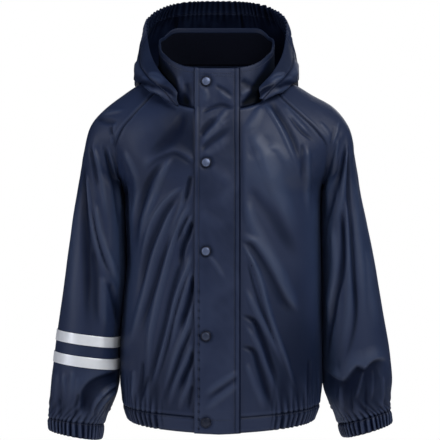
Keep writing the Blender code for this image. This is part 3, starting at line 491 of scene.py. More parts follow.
@dataclass(frozen=True)
class CoatForm:
    """Surfaces of the coat's pieces, worked out from its key lines."""

    neck_half_width: float = 0.083
    neck_corner: float = 3.3
    neck_taper: float = 0.07
    neck_lift: float = 0.8
    neck_seam: tuple = (-0.0845, 0.0620, -0.0350, 0.0380)
    collar_top: tuple = (-0.0785, 0.0600, 0.0215, 0.0926)
    neck_shift: float = -0.0035
    shift_from: float = -0.085
    shift_to: float = -0.015
    raglan_front: float = 76.0
    raglan_back: float = 105.0
    fullness: float = 0.58
    inner_fullness: float = 1.48
    outer_fullness: float = 1.20
    underarm: float = 0.187
    hem_stitch: float = 0.490
    hem_end: float = 0.512
    cuff_stitch: float = 0.517
    cuff_end: float = 0.539
    hood_band: float = 0.020
    fine: int = 193

    def ring(self, angles: Array, rise: float = 0.0) -> Array:
        """Points of the collar's ring.

        Args:
            angles: degrees round the neck, from centre front (0) to centre back (180).
            rise: from the neck seam (0) to the top edge (1).

        Returns:
            One point for each angle, x outwards.
        """
        ends = [seam + (top - seam) * rise for seam, top in zip(self.neck_seam, self.collar_top)]
        turn = np.radians(np.asarray(angles, dtype=float))
        power = 2.0 / self.neck_corner
        side = abs(np.sin(turn)) ** power
        depth = -np.sign(np.cos(turn)) * abs(np.cos(turn)) ** power
        share = (1.0 + depth) / 2.0
        climb = share + self.neck_lift * share * (1.0 - share)
        return np.stack(
            [
                self.neck_half_width * side * (1.0 + self.neck_taper * depth),
                ends[0] + (ends[1] - ends[0]) * share,
                ends[2] + (ends[3] - ends[2]) * climb,
            ],
            axis=-1,
        )

    def ring_arc(self, first: float, last: float, rise: float = 0.0) -> Array:
        """Finely divided arc of the collar's ring."""
        return self.ring(np.linspace(first, last, self.fine), rise)

    def panel_line(self, row: PanelRow, side: Side, back: bool) -> Array:
        """Key line of a front or half back."""
        outward = -1.0 if back else 1.0
        heading = math.radians(row.heading)
        x = row.edge_x(side)
        return MM * bezier(
            (0.0, row.middle_y, row.middle_z),
            (x * self.fullness, row.middle_y, row.middle_z + (row.edge_z - row.middle_z) * 0.3),
            (
                x - row.reach * math.cos(heading),
                row.edge_y - outward * row.reach * math.sin(heading),
                row.edge_z - (row.edge_z - row.middle_z) * 0.4,
            ),
            (x, row.edge_y, row.edge_z),
            self.fine,
        )

    def panel(self, side: Side, levels: Array, shares: Array, back: bool = False) -> Array:
        """Surface of a front or half back.

        Args:
            side: the wearer's side.
            levels: distances down from the neck seam, in metres.
            shares: places across, from the middle (0) to the outer edge (1).
            back: whether it is the back.

        Returns:
            A grid of points, x outwards.
        """
        neck = self.ring_arc(180.0, self.raglan_back) if back else self.ring_arc(0.0, self.raglan_front)
        table = BACK_ROWS if back else FRONT_ROWS
        lines = [divide(neck, shares)] + [divide(self.panel_line(row, side, back), shares) for row in table]
        return loft([0.0] + [row.level * MM for row in table], lines, levels)

    def whole_back(self, levels: Array, shares: Array) -> Array:
        """The back in one, from the wearer's left edge to the right one."""
        left = self.panel(Side.LEFT, levels, shares, back=True)[:, ::-1]
        right = self.panel(Side.RIGHT, levels, shares, back=True)[:, 1:]
        return np.concatenate([left, right * Side.RIGHT.mirror], axis=1)

    def ridge_line(self, front: PanelRow, ridge: RidgeRow, back: PanelRow, side: Side) -> Array:
        """Key line over the shoulder, from the front raglan seam to the back one."""
        top = np.array((ridge.x, ridge.y, ridge.z))
        halves = []
        for seam, heading, outward in ((front, ridge.heading_front, 1.0), (back, ridge.heading_back, -1.0)):
            angle = math.radians(heading)
            edge = np.array((seam.edge_x(side), seam.edge_y, seam.edge_z))
            climb = (top[2] - edge[2]) * 0.5
            reach = ridge.reach_seam
            handle = (reach * math.cos(angle), outward * reach * math.sin(angle), climb)
            crown = top - np.array((0.0, outward * ridge.reach_ridge, 0.0))
            halves.append(bezier(edge, edge + np.array(handle), crown, top, self.fine))
        return MM * np.concatenate([halves[0], halves[1][-2::-1]])

    def tube_line(self, row: TubeRow) -> Array:
        """Key line round the sleeve, from its inner side by the front and back to it."""
        inner = np.array((row.inner_x, 0.0, row.inner_z))
        outer = np.array((row.outer_x, row.middle_y, row.outer_z))
        halves = []
        for outward in (-1.0, 1.0):
            depth = outward * row.half_depth
            inner_handle = inner + np.array((0.0, depth * self.inner_fullness + row.middle_y, 0.0))
            outer_handle = outer + np.array((0.0, depth * self.outer_fullness, 0.0))
            halves.append(bezier(inner, inner_handle, outer_handle, outer, self.fine))
        return MM * np.concatenate([halves[0], halves[1][-2::-1]])

    def sleeve(self, side: Side, levels: Array, shares: Array) -> Array:
        """Surface of a whole sleeve, x outwards, from the front seam round to the back seam."""
        lines = [divide(self.ring_arc(self.raglan_front, self.raglan_back), shares)]
        places = [0.0]
        for front, ridge, back in zip(FRONT_ROWS, RIDGE_ROWS[side], BACK_ROWS):
            lines.append(divide(self.ridge_line(front, ridge, back, side), shares))
            places.append(ridge.level * MM)
        for row in TUBE_ROWS[side]:
            lines.append(divide(self.tube_line(row), shares))
            places.append(row.level * MM)
        return loft(places, lines, levels)

    def hood(self, places: Array, band_rows: int, wall_rows: int) -> Array:
        """Surface of the hood.

        Args:
            places: from 0 at the left front corner through 100 at the centre back to 200.
            band_rows: how many steps the elasticated edge has.
            wall_rows: how many steps the rest has.

        Returns:
            A grid from the opening edge, over the band's stitch line, down to the neck seam.
        """
        lines, at = [], []
        for section in HOOD_SECTIONS:
            line = smooth_line(np.array(section.points()) * MM, self.fine)
            run = lengths_along(line)[-1]
            band = min(self.hood_band, 0.45 * run)
            wall = np.linspace(band, run, wall_rows + 1)
            rows = np.append(np.linspace(0.0, band, band_rows + 1), wall[1:])
            lines.append(along(line, rows))
            at.append(section.place)
        mirror = Side.RIGHT.mirror
        lines += [line * mirror for line in lines[-2::-1]]
        at += [200.0 - place for place in at[-2::-1]]
        return np.swapaxes(loft(at, lines, places), 0, 1)

    def shifted(self, points: Array) -> Array:
        """Points with what lies near the neck moved to the wearer's right."""
        points = points.copy()
        points[..., 0] += self.neck_shift * smoothstep(self.shift_from, self.shift_to, points[..., 2])
        return points


# Creases and gathers


@dataclass(frozen=True)
class Crease:
    """Ridge (depth above 0) or trough along a smooth path, by x outwards and z; millimetres."""

    path: tuple
    width: float
    depth: float
    lean: float = 0.0

    STEPS = 28
    FADE_IN = 0.16
    FADE_OUT = 0.34

    def reach(self) -> float:
        """How far from its path the crease can be felt, in millimetres."""
        return self.width * 1.5

    def height(self, across: Array, down: Array) -> Array:
        """Height of the crease over points.

        Args:
            across: x outwards of each point, in metres.
            down: z of each point, in metres.

        Returns:
            Heights in metres.
        """
        line = smooth_line(np.array(self.path) * MM, self.STEPS + 1)
        height = np.zeros(across.shape)
        low, high = line.min(axis=0) - self.reach() * MM, line.max(axis=0) + self.reach() * MM
        near = (across > low[0]) & (across < high[0]) & (down > low[1]) & (down < high[1])
        x, z = across[near], down[near]
        best = np.full(x.shape, np.inf)
        place, signed = np.zeros(x.shape), np.zeros(x.shape)
        for index, (first, last) in enumerate(zip(line[:-1], line[1:])):
            step = last - first
            off_x, off_z = x - first[0], z - first[1]
            share = np.clip((off_x * step[0] + off_z * step[1]) / (step @ step), 0.0, 1.0)
            distance = np.hypot(off_x - share * step[0], off_z - share * step[1])
            closer = distance < best
            best = np.where(closer, distance, best)
            place = np.where(closer, (index + share) / self.STEPS, place)
            signed = np.where(closer, np.sign(off_x * step[1] - off_z * step[0]), signed)
        fade = smoothstep(0.0, self.FADE_IN, place + 0.04) * smoothstep(0.0, self.FADE_OUT, 1.0 - place)
        height[near] = self.profile(best, signed, place) * fade
        return height

    def profile(self, distance: Array, signed: Array, place: Array) -> Array:
        """Height across the crease, in metres.

        Args:
            distance: how far each point is from the path, in metres.
            signed: -1 on the left-hand side of the path, 1 on the other.
            place: share of the path where the point is.

        Returns:
            Heights in metres.
        """
        half = self.width * MM * (0.75 + 0.4 * np.sin(np.pi * place)) * (1.0 + self.lean * signed)
        return self.depth * MM * np.clip(1.0 - (distance / half) ** 2, 0.0, 1.0) ** 2


@dataclass(frozen=True)
class FoldEdge(Crease):
    """Edge of a fold: the cloth stands up on the left-hand side of its path and sinks on the other."""

    sunk_width: float = 20.0
    sunk: float = 3.0

    FADE_IN = 0.14
    FADE_OUT = 0.20
    SOFT = 3.6

    def reach(self) -> float:
        """How far from its path the edge can be felt, in millimetres."""
        return 1.2 * max(self.width, self.sunk_width)

    def profile(self, distance: Array, signed: Array, place: Array) -> Array:
        """Height across the edge, in metres."""
        swell = 0.7 + 0.4 * np.sin(np.pi * place)
        up = self.depth * np.clip(1.0 - (distance / (self.width * MM * swell)) ** 2, 0.0, 1.0) ** 2
        low = -self.sunk * np.clip(1.0 - (distance / (self.sunk_width * MM * swell)) ** 2, 0.0, 1.0) ** 2
        share = smoothstep(-self.SOFT, self.SOFT, -signed * distance / MM)
        return MM * (low + (up - low) * share)


@dataclass(frozen=True)
class Swell:
    """Broad soft bulge (depth above 0) or hollow, by its middle and its reach in x and z; millimetres."""

    middle: tuple
    spread: tuple
    depth: float

    def height(self, across: Array, down: Array) -> Array:
        """Height of the bulge over points, in metres."""
        off_x = (across / MM - self.middle[0]) / self.spread[0]
        off_z = (down / MM - self.middle[1]) / self.spread[1]
        return self.depth * MM * np.exp(-(off_x**2) - off_z**2)


def crease_height(creases: Sequence, across: Array, down: Array, blend: float = 2.2) -> Array:
    """Height of a set of creases over points; where two meet, the larger leads and they don't pile up."""
    ridges, troughs, swells = np.zeros(across.shape), np.zeros(across.shape), np.zeros(across.shape)
    for crease in creases:
        height = crease.height(across, down) / MM
        if isinstance(crease, Swell):
            swells += height
            continue
        ridges += np.maximum(height, 0.0) ** blend
        troughs += np.maximum(-height, 0.0) ** blend
    return MM * (ridges ** (1.0 / blend) - troughs ** (1.0 / blend) + swells)


def facing(normals: Array, direction: float) -> Array:
    """How much of a surface faces -Y (direction -1) or +Y (direction 1), from 0 to 1."""
    return smoothstep(0.05, 0.45, direction * normals[..., 1])


def relief_of(folds: Array, gathers: Array, roll: Array) -> Array:
    """Painted light by heights in metres: from -1, painted shade in a hollow, to 1, painted highlight on a
    fold.
    """
    return np.tanh(folds / 0.0042 + gathers / 0.0022 + roll / 0.0019)


@dataclass(frozen=True)
class Gathers:
    """Uneven waves that an elastic draws into an edge."""

    length: float
    depth: float
    seed: int
    reach: float

    def height(self, run: Array, above: Array, fine: float = 1.0) -> Array:
        """Height of the waves.

        Args:
            run: distance along the edge, in metres.
            above: distance from the stitch line towards the panel, in metres; below 0 in the casing.
            fine: factor on the depth.

        Returns:
            Heights in metres.
        """
        noise = SmoothNoise(self.seed)
        drift = 1.3 * noise.at(run / 0.031, above / 0.150 + 7.3)
        phase = run / self.length + drift
        uneven = 0.75 + 0.7 * noise.at(run / 0.013 + 31.0, above / 0.060)
        waves = np.sin(2.0 * np.pi * phase) + 0.25 * np.sin(4.0 * np.pi * phase + 1.1)
        slow = np.sin(2.0 * np.pi * (run / (2.1 * self.length) + 1.3 * drift + 0.2))
        up = np.clip(above / self.reach, 0.0, 1.0)
        fade = (1.0 - up) ** 1.6
        blend = smoothstep(0.1, 0.6, up)
        return self.depth * fine * fade * uneven * (waves * (1.0 - blend) + 1.5 * slow * blend)


FRONT_CREASES = {
    Side.RIGHT: (
        Crease(((43, -41), (59, -66), (81, -90), (102, -116)), 12, -2.4),
        FoldEdge(((36, -113), (50, -102), (63, -97), (77, -101), (93, -110),
            (107, -124)), 16, 2.2, 0, 9, 1.2),
        Crease(((67, -105), (81, -133), (93, -164), (103, -194), (112, -228)), 8, 3.6, -0.2),
        Crease(((82, -113), (98, -138), (109, -170), (117, -214), (120, -250)), 7.5, -3.2),
        Crease(((135, -94), (123, -116), (116, -138), (117, -170), (123, -208)), 7, 2.8),
        Crease(((52, -147), (68, -159), (82, -175), (93, -194), (102, -225), (110, -258)), 5, 2.8, -0.2),
        Crease(((57, -158), (74, -180), (86, -205), (98, -236), (106, -270), (114, -314)), 6.5, -3.4),
        Crease(((47, -144), (52, -169), (59, -191), (68, -219), (79, -258)), 3.4, 3),
        Crease(((60, -166), (71, -191), (82, -219), (92, -250), (102, -289), (113, -331), (124, -366),
            (132, -389)), 6.5, 3.2, -0.2),
        Crease(((39, -130), (45, -155), (50, -172)), 5, -3.6),
        Crease(((54, -183), (64, -208), (77, -242), (89, -281), (102, -323), (112, -362)), 5, -3.2),
        Crease(((38, -169), (49, -186), (59, -205), (68, -236), (78, -275), (89, -320), (95, -352),
            (99, -389), (103, -424)), 6.5, 3.8, -0.2),
        Crease(((43, -186), (52, -203), (60, -225)), 3, -2.4),
        Crease(((36, -184), (45, -200), (52, -219)), 3.2, 2.6),
        Crease(((36, -193), (43, -212), (50, -229), (53, -250), (52, -264)), 4.8, -5.4),
        Crease(((49, -244), (57, -264), (66, -296), (75, -338), (85, -376), (95, -408),
            (105, -437)), 5.5, -3.6),
        Crease(((36, -236), (43, -258), (52, -282), (60, -303), (68, -334), (77, -367), (84, -395),
            (92, -423), (98, -447)), 6, 3.8, -0.2),
        Crease(((43, -264), (52, -289), (63, -328), (71, -362), (79, -389), (88, -417),
            (96, -445)), 3.4, -2.4),
        Crease(((36, -258), (42, -278), (49, -300), (56, -323), (63, -353), (70, -383)), 4.6, 3.2, -0.2),
        Crease(((35, -268), (38, -289), (43, -310), (50, -331), (56, -350)), 4.8, -5.2),
        Crease(((36, -309), (42, -334), (50, -355), (59, -376), (67, -402), (75, -430),
            (82, -449)), 6, 3.8, -0.2),
        Crease(((38, -342), (49, -366), (60, -394), (71, -423), (81, -451)), 4.5, -3.2),
        Crease(((36, -362), (46, -387), (56, -409), (66, -437), (71, -459)), 5, 3.4, -0.2),
        Crease(((36, -373), (39, -388), (47, -406), (57, -433)), 4.4, -4.4),
        Crease(((36, -398), (43, -422), (52, -442), (57, -461)), 5, 3),
        Crease(((36, -420), (40, -440), (43, -458)), 3.5, -3),
        Crease(((107, -389), (110, -417), (116, -447)), 3.5, -2.6),
        Crease(((99, -409), (107, -430), (113, -449)), 3.5, -2.4),
        Crease(((120, -403), (121, -429), (123, -451)), 4, 2),
        Crease(((134, -130), (132, -170), (130, -219), (130, -270)), 3.4, -2.6),
        Swell((77, -436), (47, 61), -1.5),
        Swell((107, -74), (22, 33), 1.2),
        Swell((49, -66), (21, 39), -2.6),
        Swell((72, -84), (40, 30), -2),
    ),
    Side.LEFT: (
        Crease(((46, -72), (58, -96), (68, -122), (79, -150), (92, -180), (106, -217)), 15, 3.4, -0.25),
        Crease(((43, -144), (57, -164), (77, -189), (95, -219), (112, -250)), 13, -2.2),
        FoldEdge(((35, -219), (46, -223), (57, -236), (71, -258), (85, -286), (100, -311),
            (112, -323)), 20, 4.6, 0, 17, 2.6),
        Crease(((38, -164), (46, -194), (63, -228), (85, -267), (107, -303)), 12, 3),
        Crease(((35, -228), (52, -261), (68, -317), (80, -353), (94, -388), (107, -423),
            (120, -447)), 5.2, 4.2, -0.2),
        Crease(((43, -239), (60, -289), (71, -328), (84, -362)), 3.6, 3),
        Crease(((39, -250), (54, -300), (71, -345), (88, -389)), 2.8, -2.4),
        Crease(((38, -289), (49, -314), (64, -342), (81, -373), (95, -405)), 7, 3, -0.2),
        Crease(((35, -324), (47, -330), (59, -353), (71, -388), (84, -427)), 5.5, -4.4),
        Crease(((38, -341), (52, -363), (63, -388), (73, -416), (80, -441)), 6, 2.4, -0.2),
        Crease(((34, -367), (45, -371), (56, -396), (67, -431), (78, -462)), 5.5, -4),
        Crease(((38, -391), (49, -419), (59, -445), (63, -461)), 6.5, 2.2),
        Crease(((68, -30), (84, -57), (96, -83), (105, -105), (112, -130)), 6.5, 3, -0.2),
        Crease(((77, -24), (87, -46), (98, -71), (107, -99), (113, -126)), 9, -3.2),
        Crease(((95, -28), (109, -49), (130, -74)), 6, 1.6),
        Crease(((102, -46), (116, -66), (135, -83)), 4, -2),
        Crease(((63, -32), (49, -55), (35, -71)), 9, 1.8),
        Crease(((39, -102), (52, -97), (66, -83), (80, -80)), 12, -1),
        Crease(((66, -91), (80, -92), (91, -105), (102, -124)), 8, 1.2),
        Crease(((124, -90), (124, -136), (126, -186)), 6, 2.6),
        Crease(((117, -85), (116, -108), (116, -141)), 4.5, -1.8),
        Crease(((130, -389), (130, -420), (127, -447)), 4, -2.6),
        Swell((116, -395), (50, 92), -3.2),
        Swell((68, -119), (36, 50), 3.2),
    ),
}
BACK_CREASES = (
    Crease(((-100, -90), (-72, -170), (-40, -300)), 17, 4, 0.2),
    Crease(((-112, -150), (-95, -260), (-60, -430)), 15, 4.4, 0.2),
    Crease(((-60, -110), (-20, -200), (15, -330)), 18, -3.4),
    Crease(((-25, -260), (-12, -360), (-20, -455)), 14, 3.8, 0.2),
    Crease(((-80, -200), (-50, -290), (-32, -400)), 11, -3),
    Crease(((100, -85), (78, -160), (30, -270)), 17, 4, -0.2),
    Crease(((115, -150), (90, -260), (74, -410)), 15, 4.4, -0.2),
    Crease(((62, -230), (42, -340), (38, -450)), 13, -3.4),
    Crease(((10, -320), (14, -390), (12, -456)), 12, 3.2),
    Crease(((-84, -330), (-92, -390), (-88, -452)), 10, 2.6),
    Crease(((98, -350), (104, -410), (102, -455)), 10, 2.6),
    Crease(((40, -120), (20, -180), (-8, -250)), 12, 2.4),
    Crease(((-40, -70), (-20, -110), (20, -140)), 14, 1.8),
    Crease(((60, -370), (58, -410), (60, -456)), 8, 2.4),
    Crease(((-50, -370), (-54, -410), (-52, -456)), 8, 2.4),
)
SLEEVE_CREASES = {
    Side.RIGHT: (
        Crease(((193, -117), (192, -174), (189, -234), (187, -292), (187, -346)), 8, -3.8),
        Swell((210, -234), (13, 123), 1.8),
        Swell((184, -251), (11, 114), -1.4),
        Crease(((180, -231), (174, -286), (173, -346)), 8, -2.4),
        Crease(((190, -123), (184, -170), (177, -213), (167, -251), (156, -283)), 5, 3.2, -0.2),
        Crease(((183, -170), (174, -211), (162, -251), (146, -287)), 3, -1.8),
        Crease(((176, -167), (166, -217), (152, -260), (140, -293)), 6, 3.2, -0.2),
        Crease(((184, -88), (177, -120), (172, -151)), 4, -2.6),
        Crease(((179, -86), (170, -117), (164, -156), (159, -200)), 5, 2.4),
        Crease(((163, -88), (153, -127), (147, -170), (143, -217)), 4.2, -3),
        Crease(((157, -86), (147, -127), (143, -169), (140, -200)), 4, 2.2),
        Crease(((157, -280), (150, -309), (144, -349)), 6, -4),
        Crease(((166, -271), (166, -306), (163, -349)), 7, 2.6),
        Crease(((206, -148), (207, -249), (213, -340)), 10, 1.4),
        Crease(((169, -41), (152, -38), (129, -34)), 4, 1.8),
        Crease(((172, -47), (159, -51), (142, -54)), 6, -1.8),
        Crease(((154, -58), (149, -74), (146, -94)), 3.5, -2.2),
        Crease(((146, -54), (150, -74), (156, -91)), 3.5, 1.6),
        FoldEdge(((142, -407), (163, -412), (182, -420), (193, -432), (196, -450),
            (192, -477)), 24, 2, 0, 28, 4.6),
        Crease(((143, -423), (159, -433), (172, -446), (180, -462), (182, -476)), 3, 6.5),
        Crease(((147, -434), (160, -445), (170, -457), (176, -475)), 2.8, 6),
        Crease(((144, -443), (156, -456), (164, -475)), 4.5, -2),
        Crease(((200, -414), (203, -437), (213, -472)), 5, 2.2),
        Crease(((222, -409), (219, -437), (217, -469)), 6, 1.8),
        Crease(((207, -406), (210, -434), (217, -466)), 7, 2.6),
        Crease(((199, -437), (203, -456), (206, -476)), 4, -2.2),
        Crease(((227, -446), (227, -463), (226, -477)), 3.5, -2),
        Crease(((233, -409), (234, -437), (233, -466)), 6, 1.4),
        Swell((208, -449), (30, 17), -2.4),
    ),
    Side.LEFT: (
        Crease(((180, -86), (173, -120), (166, -148), (160, -177), (153, -216)), 4.2, -3.4),
        Crease(((184, -88), (184, -163), (187, -207), (190, -263), (194, -320), (190, -352),
            (182, -380), (174, -412)), 4.4, -4.2),
        Crease(((174, -180), (176, -234), (173, -270), (167, -300), (162, -334), (157, -370),
            (154, -403)), 5.2, -5.4, -0.1),
        Crease(((182, -88), (177, -134), (172, -171), (163, -204)), 5, 2.8),
        Crease(((169, -77), (163, -113), (157, -151), (152, -180)), 5, 2.4),
        Crease(((182, -163), (183, -220), (184, -277), (182, -334), (173, -386)), 7, 3.2),
        Crease(((164, -203), (166, -249), (160, -294), (152, -352)), 6, 2.8),
        Crease(((193, -134), (197, -206), (203, -277), (207, -337)), 8, 2),
        Crease(((210, -234), (217, -292), (225, -352)), 8, 1.8),
        FoldEdge(((153, -407), (164, -416), (176, -420), (187, -409), (197, -399), (206, -403),
            (216, -394), (226, -390), (243, -393)), 26, 3.2, 0, 34, 4.4),
        Crease(((206, -407), (200, -426), (193, -449)), 3.6, 4),
        Crease(((220, -406), (219, -427), (216, -452)), 3.2, 2.4),
        Crease(((235, -414), (235, -437), (232, -460)), 3.2, 2),
        Crease(((170, -429), (172, -449), (176, -469)), 4.4, 2.2),
        Crease(((186, -426), (187, -446), (190, -472)), 3.4, -2),
        Crease(((210, -414), (209, -439), (210, -469)), 3.2, -2.2),
        Crease(((173, -50), (164, -74), (156, -94)), 3.6, 1.8),
        Crease(((167, -60), (160, -77), (156, -91)), 3, -1.4),
        Crease(((144, -54), (153, -68), (157, -83)), 6, 1.4),
        Swell((205, -440), (43, 31), -3),
        Swell((210, -234), (16, 114), 1.6),
        Swell((170, -251), (11, 94), 1.2),
    ),
}
SLEEVE_BACK_CREASES = (
    Crease(((188, -120), (184, -200), (172, -300)), 12, -3.6),
    Crease(((170, -110), (160, -190), (150, -270)), 11, 3.4),
    Crease(((205, -190), (212, -270), (216, -360)), 13, 3.6),
    Crease(((196, -290), (186, -350), (176, -410)), 11, -3.6),
    Crease(((165, -300), (162, -350), (166, -400)), 10, 2.8),
    Crease(((226, -330), (230, -380), (232, -430)), 10, -2.4),
    Crease(((200, -410), (198, -440), (196, -476)), 9, 3.4),
    Crease(((180, -420), (182, -450), (184, -480)), 7, -2.8),
    Crease(((218, -425), (216, -450), (214, -478)), 7, -2.6),
)
FLAP_CREASES = (
    Crease(((-22, -42), (-10, -35), (4, -31), (17, -35), (25, -36)), 3.9, -1.5),
    Crease(((-25, -75), (-19, -65), (-10, -56), (0, -47)), 6.8, -2),
    Crease(((-22, -86), (-17, -75), (-7, -63), (4, -49), (13, -39), (21, -40)), 6, 1.5),
    Crease(((-19, -83), (-8, -72), (4, -58), (18, -49)), 4.5, 1),
    Crease(((-23, -94), (-12, -83), (1, -74), (18, -61)), 6, -1.5),
    Crease(((-21, -103), (-7, -94), (4, -85), (19, -74)), 9, 1),
    Crease(((-21, -7), (-18, -18), (-21, -31)), 6, 1.1),
    Crease(((0, -11), (7, -17), (18, -25)), 5.2, 1.2),
    Crease(((-4, -3), (8, -10), (19, -20)), 4.5, -1.2),
    Crease(((25, -402), (4, -416), (-23, -434)), 6.8, 1.5),
    Crease(((25, -420), (4, -435), (-21, -456)), 6.8, 1.5),
    Crease(((24, -410), (1, -427), (-18, -441)), 5.2, -1.3),
    Crease(((-14, -241), (-4, -255), (8, -274)), 4.5, 1.1),
    Crease(((-10, -117), (4, -130), (19, -144)), 10.5, 0.6),
    Crease(((25, -144), (4, -164), (-18, -175)), 12, 0.5),
    Crease(((24, -288), (4, -305), (-18, -319)), 12, -0.5),
    Crease(((-26, -180), (-7, -194), (15, -202)), 12, 0.5),
)

COLLAR_CREASES = {
    Side.RIGHT: (
        Crease(((42, 2), (40, -14), (43, -36)), 8, -1.9),
        Crease(((53, 12), (50, -6), (52, -26)), 7, 1.2),
        Swell((66, 0), (9, 24), -1.6),
    ),
    Side.LEFT: (
        Crease(((35, 5), (46, -2), (60, -10)), 7, -1.5),
        Crease(((33, -16), (44, -10), (56, -4)), 5.5, 1.2),
        Crease(((34, -28), (46, -23), (58, -14)), 6, -1.5),
        Swell((62, -8), (10, 22), -1.8),
    ),
}
HOOD_CREASES = (
    Crease(((96, -1), (80, -4), (67, -10), (56, -22)), 4, -2.6),
    Crease(((98, -8), (83, -12), (70, -19), (58, -31)), 4.4, 1.8, 0.2),
    Crease(((112, -6), (100, -7), (88, -10)), 6, 1.6, 0.2),
    Crease(((108, 12), (90, 9), (72, 0)), 5, 1.8),
    Crease(((112, 4), (98, 2), (86, 1)), 5, -1.6),
    Crease(((118, 40), (112, 24), (100, 12)), 9, 1.6),
    Crease(((120, 70), (119, 48), (112, 34)), 8, -1.2),
    Crease(((98, 16), (84, 14), (70, 2)), 5, 1.2),
)


# Meshes


def add_object(name: str, data: bpy.types.ID) -> bpy.types.Object:
    """Make an object of a mesh, lamp or camera in the scene."""
    made = bpy.data.objects.new(name, data)
    bpy.context.scene.collection.objects.link(made)
    return made


def built_object(name: str, builder: bmesh.types.BMesh, finish: "Finish") -> bpy.types.Object:
    """Make an object of a bmesh, which is freed.

    Args:
        name: the object's name.
        builder: its mesh.
        finish: its material.

    Returns:
        The new object.
    """
    mesh = bpy.data.meshes.new(name)
    builder.to_mesh(mesh)
    builder.free()
    mesh.materials.append(finish.material())
    return add_object(name, mesh)


def ride_along(piece: bpy.types.Object) -> bpy.types.Object:
    """Fix a piece to the coat's body."""
    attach(piece, BODY)
    return piece


def mesh_object(
    name: str, points: Array, faces: Sequence, uv: Array | None, finish: "Finish"
) -> bpy.types.Object:
    """Make a riding object of points and faces.

    Args:
        name: the piece's name.
        points: its vertices.
        faces: tuples of vertex numbers, turned outwards.
        uv: one texture place for each vertex, in metres, or None.
        finish: its material.

    Returns:
        The new object.
    """
    mesh = bpy.data.meshes.new(name)
    mesh.from_pydata(points.tolist(), [], faces)
    mesh.shade_smooth()
    if uv is not None:
        layer = mesh.uv_layers.new(name="cloth")
        corners = np.zeros(len(mesh.loops), dtype=np.int32)
        mesh.loops.foreach_get("vertex_index", corners)
        layer.data.foreach_set("uv", uv[corners].astype(np.float32).ravel())
    mesh.materials.append(finish.material())
    mesh.validate()
    return ride_along(add_object(name, mesh))


def mark_relief(piece: bpy.types.Object, relief: Array, inside: float | Array = -0.6) -> None:
    """Write down the painted light of each point, which the finish reads as colour.

    Args:
        piece: the piece, whose first points are the outer face's.
        relief: from -1, painted shade in a deep hollow, to 1, painted highlight on a high fold, for each of
            those points.
        inside: the same for the other points, one value or one for each.
    """
    values = np.empty(len(piece.data.vertices), dtype=np.float32)
    values[: relief.size] = relief.ravel()
    values[relief.size :] = np.ravel(inside)
    piece.data.attributes.new("relief", "FLOAT", "POINT").data.foreach_set("value", values)


def grid_faces(first: int, rows: int, columns: int, flip: bool) -> list:
    """Quads of a grid whose vertices are numbered row by row from first."""
    row, column = np.meshgrid(np.arange(rows - 1), np.arange(columns - 1), indexing="ij")
    corner = first + row * columns + column
    quads = np.stack([corner, corner + columns, corner + columns + 1, corner + 1], axis=-1).reshape(-1, 4)
    if flip:
        quads = quads[:, ::-1]
    return quads.tolist()


def edge_loop(first: int, rows: int, columns: int) -> Array:
    """Vertex numbers round the border of a grid, once round."""
    numbers = first + np.arange(rows * columns).reshape(rows, columns)
    return np.concatenate([numbers[0, :-1], numbers[:-1, -1], numbers[-1, :0:-1], numbers[:0:-1, 0]])


@dataclass
class ClothSheet:
    """Shell of cloth: a fine outer grid, an inner grid a wall below it, and rims between them."""

    name: str
    base: Array
    normals: Array
    height: Array
    wall: float = 0.0015
    step: int = 2
    mirror: Array = field(default_factory=lambda: Side.LEFT.mirror)
    shift: CoatForm | None = None
    # painted light of the outer face's points and of the other points, read by the finish as colour
    relief: Array | None = None
    inside: float | Array = -0.6

    def placed(self, points: Array) -> Array:
        """Points mirrored to their side and shifted near the neck."""
        points = points * self.mirror
        return self.shift.shifted(points) if self.shift else points

    def outer(self) -> Array:
        """The outer face's points."""
        return self.placed(self.base + self.normals * self.height[..., None])

    def inner(self) -> Array:
        """The inner face's points."""
        step = self.step
        base, normals, height = (part[::step, ::step] for part in (self.base, self.normals, self.height))
        return self.placed(base + normals * (height[..., None] - self.wall))

    def build(self, finish: "Finish", slot: str) -> bpy.types.Object:
        """Make the shell's object in place of its solid, which is hidden.

        Args:
            finish: its material.
            slot: not used.

        Returns:
            The new object, closed all round.
        """
        outer, inner = self.outer(), self.inner()
        rows, columns = outer.shape[:2]
        inner_rows, inner_columns = inner.shape[:2]
        flipped = self.mirror[0] < 0.0
        faces = grid_faces(0, rows, columns, flipped)
        count = rows * columns
        faces += grid_faces(count, inner_rows, inner_columns, not flipped)
        ring, inner_ring = edge_loop(0, rows, columns), edge_loop(count, inner_rows, inner_columns)
        for index in range(len(inner_ring)):
            here, following = inner_ring[index], inner_ring[(index + 1) % len(inner_ring)]
            if self.step == 1:
                strip = [(ring[index], ring[(index + 1) % len(ring)], following, here)]
            else:
                first, second, third = (ring[(2 * index + more) % len(ring)] for more in (0, 1, 2))
                strip = [(first, second, here), (second, following, here), (second, third, following)]
            faces += [face[::-1] if flipped else face for face in strip]
        uv_outer = np.stack([row_runs(outer), column_runs(outer)], axis=-1)
        uv_inner = uv_outer[:: self.step, :: self.step]
        uv = np.concatenate([uv_outer.reshape(-1, 2), uv_inner.reshape(-1, 2)])
        points = np.concatenate([outer.reshape(-1, 3), inner.reshape(-1, 3)])
        piece = mesh_object(f"{self.name}_cloth", points, faces, uv, finish)
        if self.relief is not None:
            mark_relief(piece, self.relief, self.inside)
        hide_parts(self.name)
        CUTS[self.name].declare(piece)
        LOG.info("%s: %d faces", piece.name, len(piece.data.polygons))
        return piece

    def line_across(self, row_place: float) -> tuple[Array, Array]:
        """Points and normals of the outer face along a row, at a distance from the first or last one."""
        return read_line(self.outer(), row_place, self.mirror[0])

    def line_down(self, column_place: float) -> tuple[Array, Array]:
        """Points and normals of the outer face down a column, at a distance from the first or last one."""
        return read_line(np.swapaxes(self.outer(), 0, 1), column_place, -self.mirror[0])


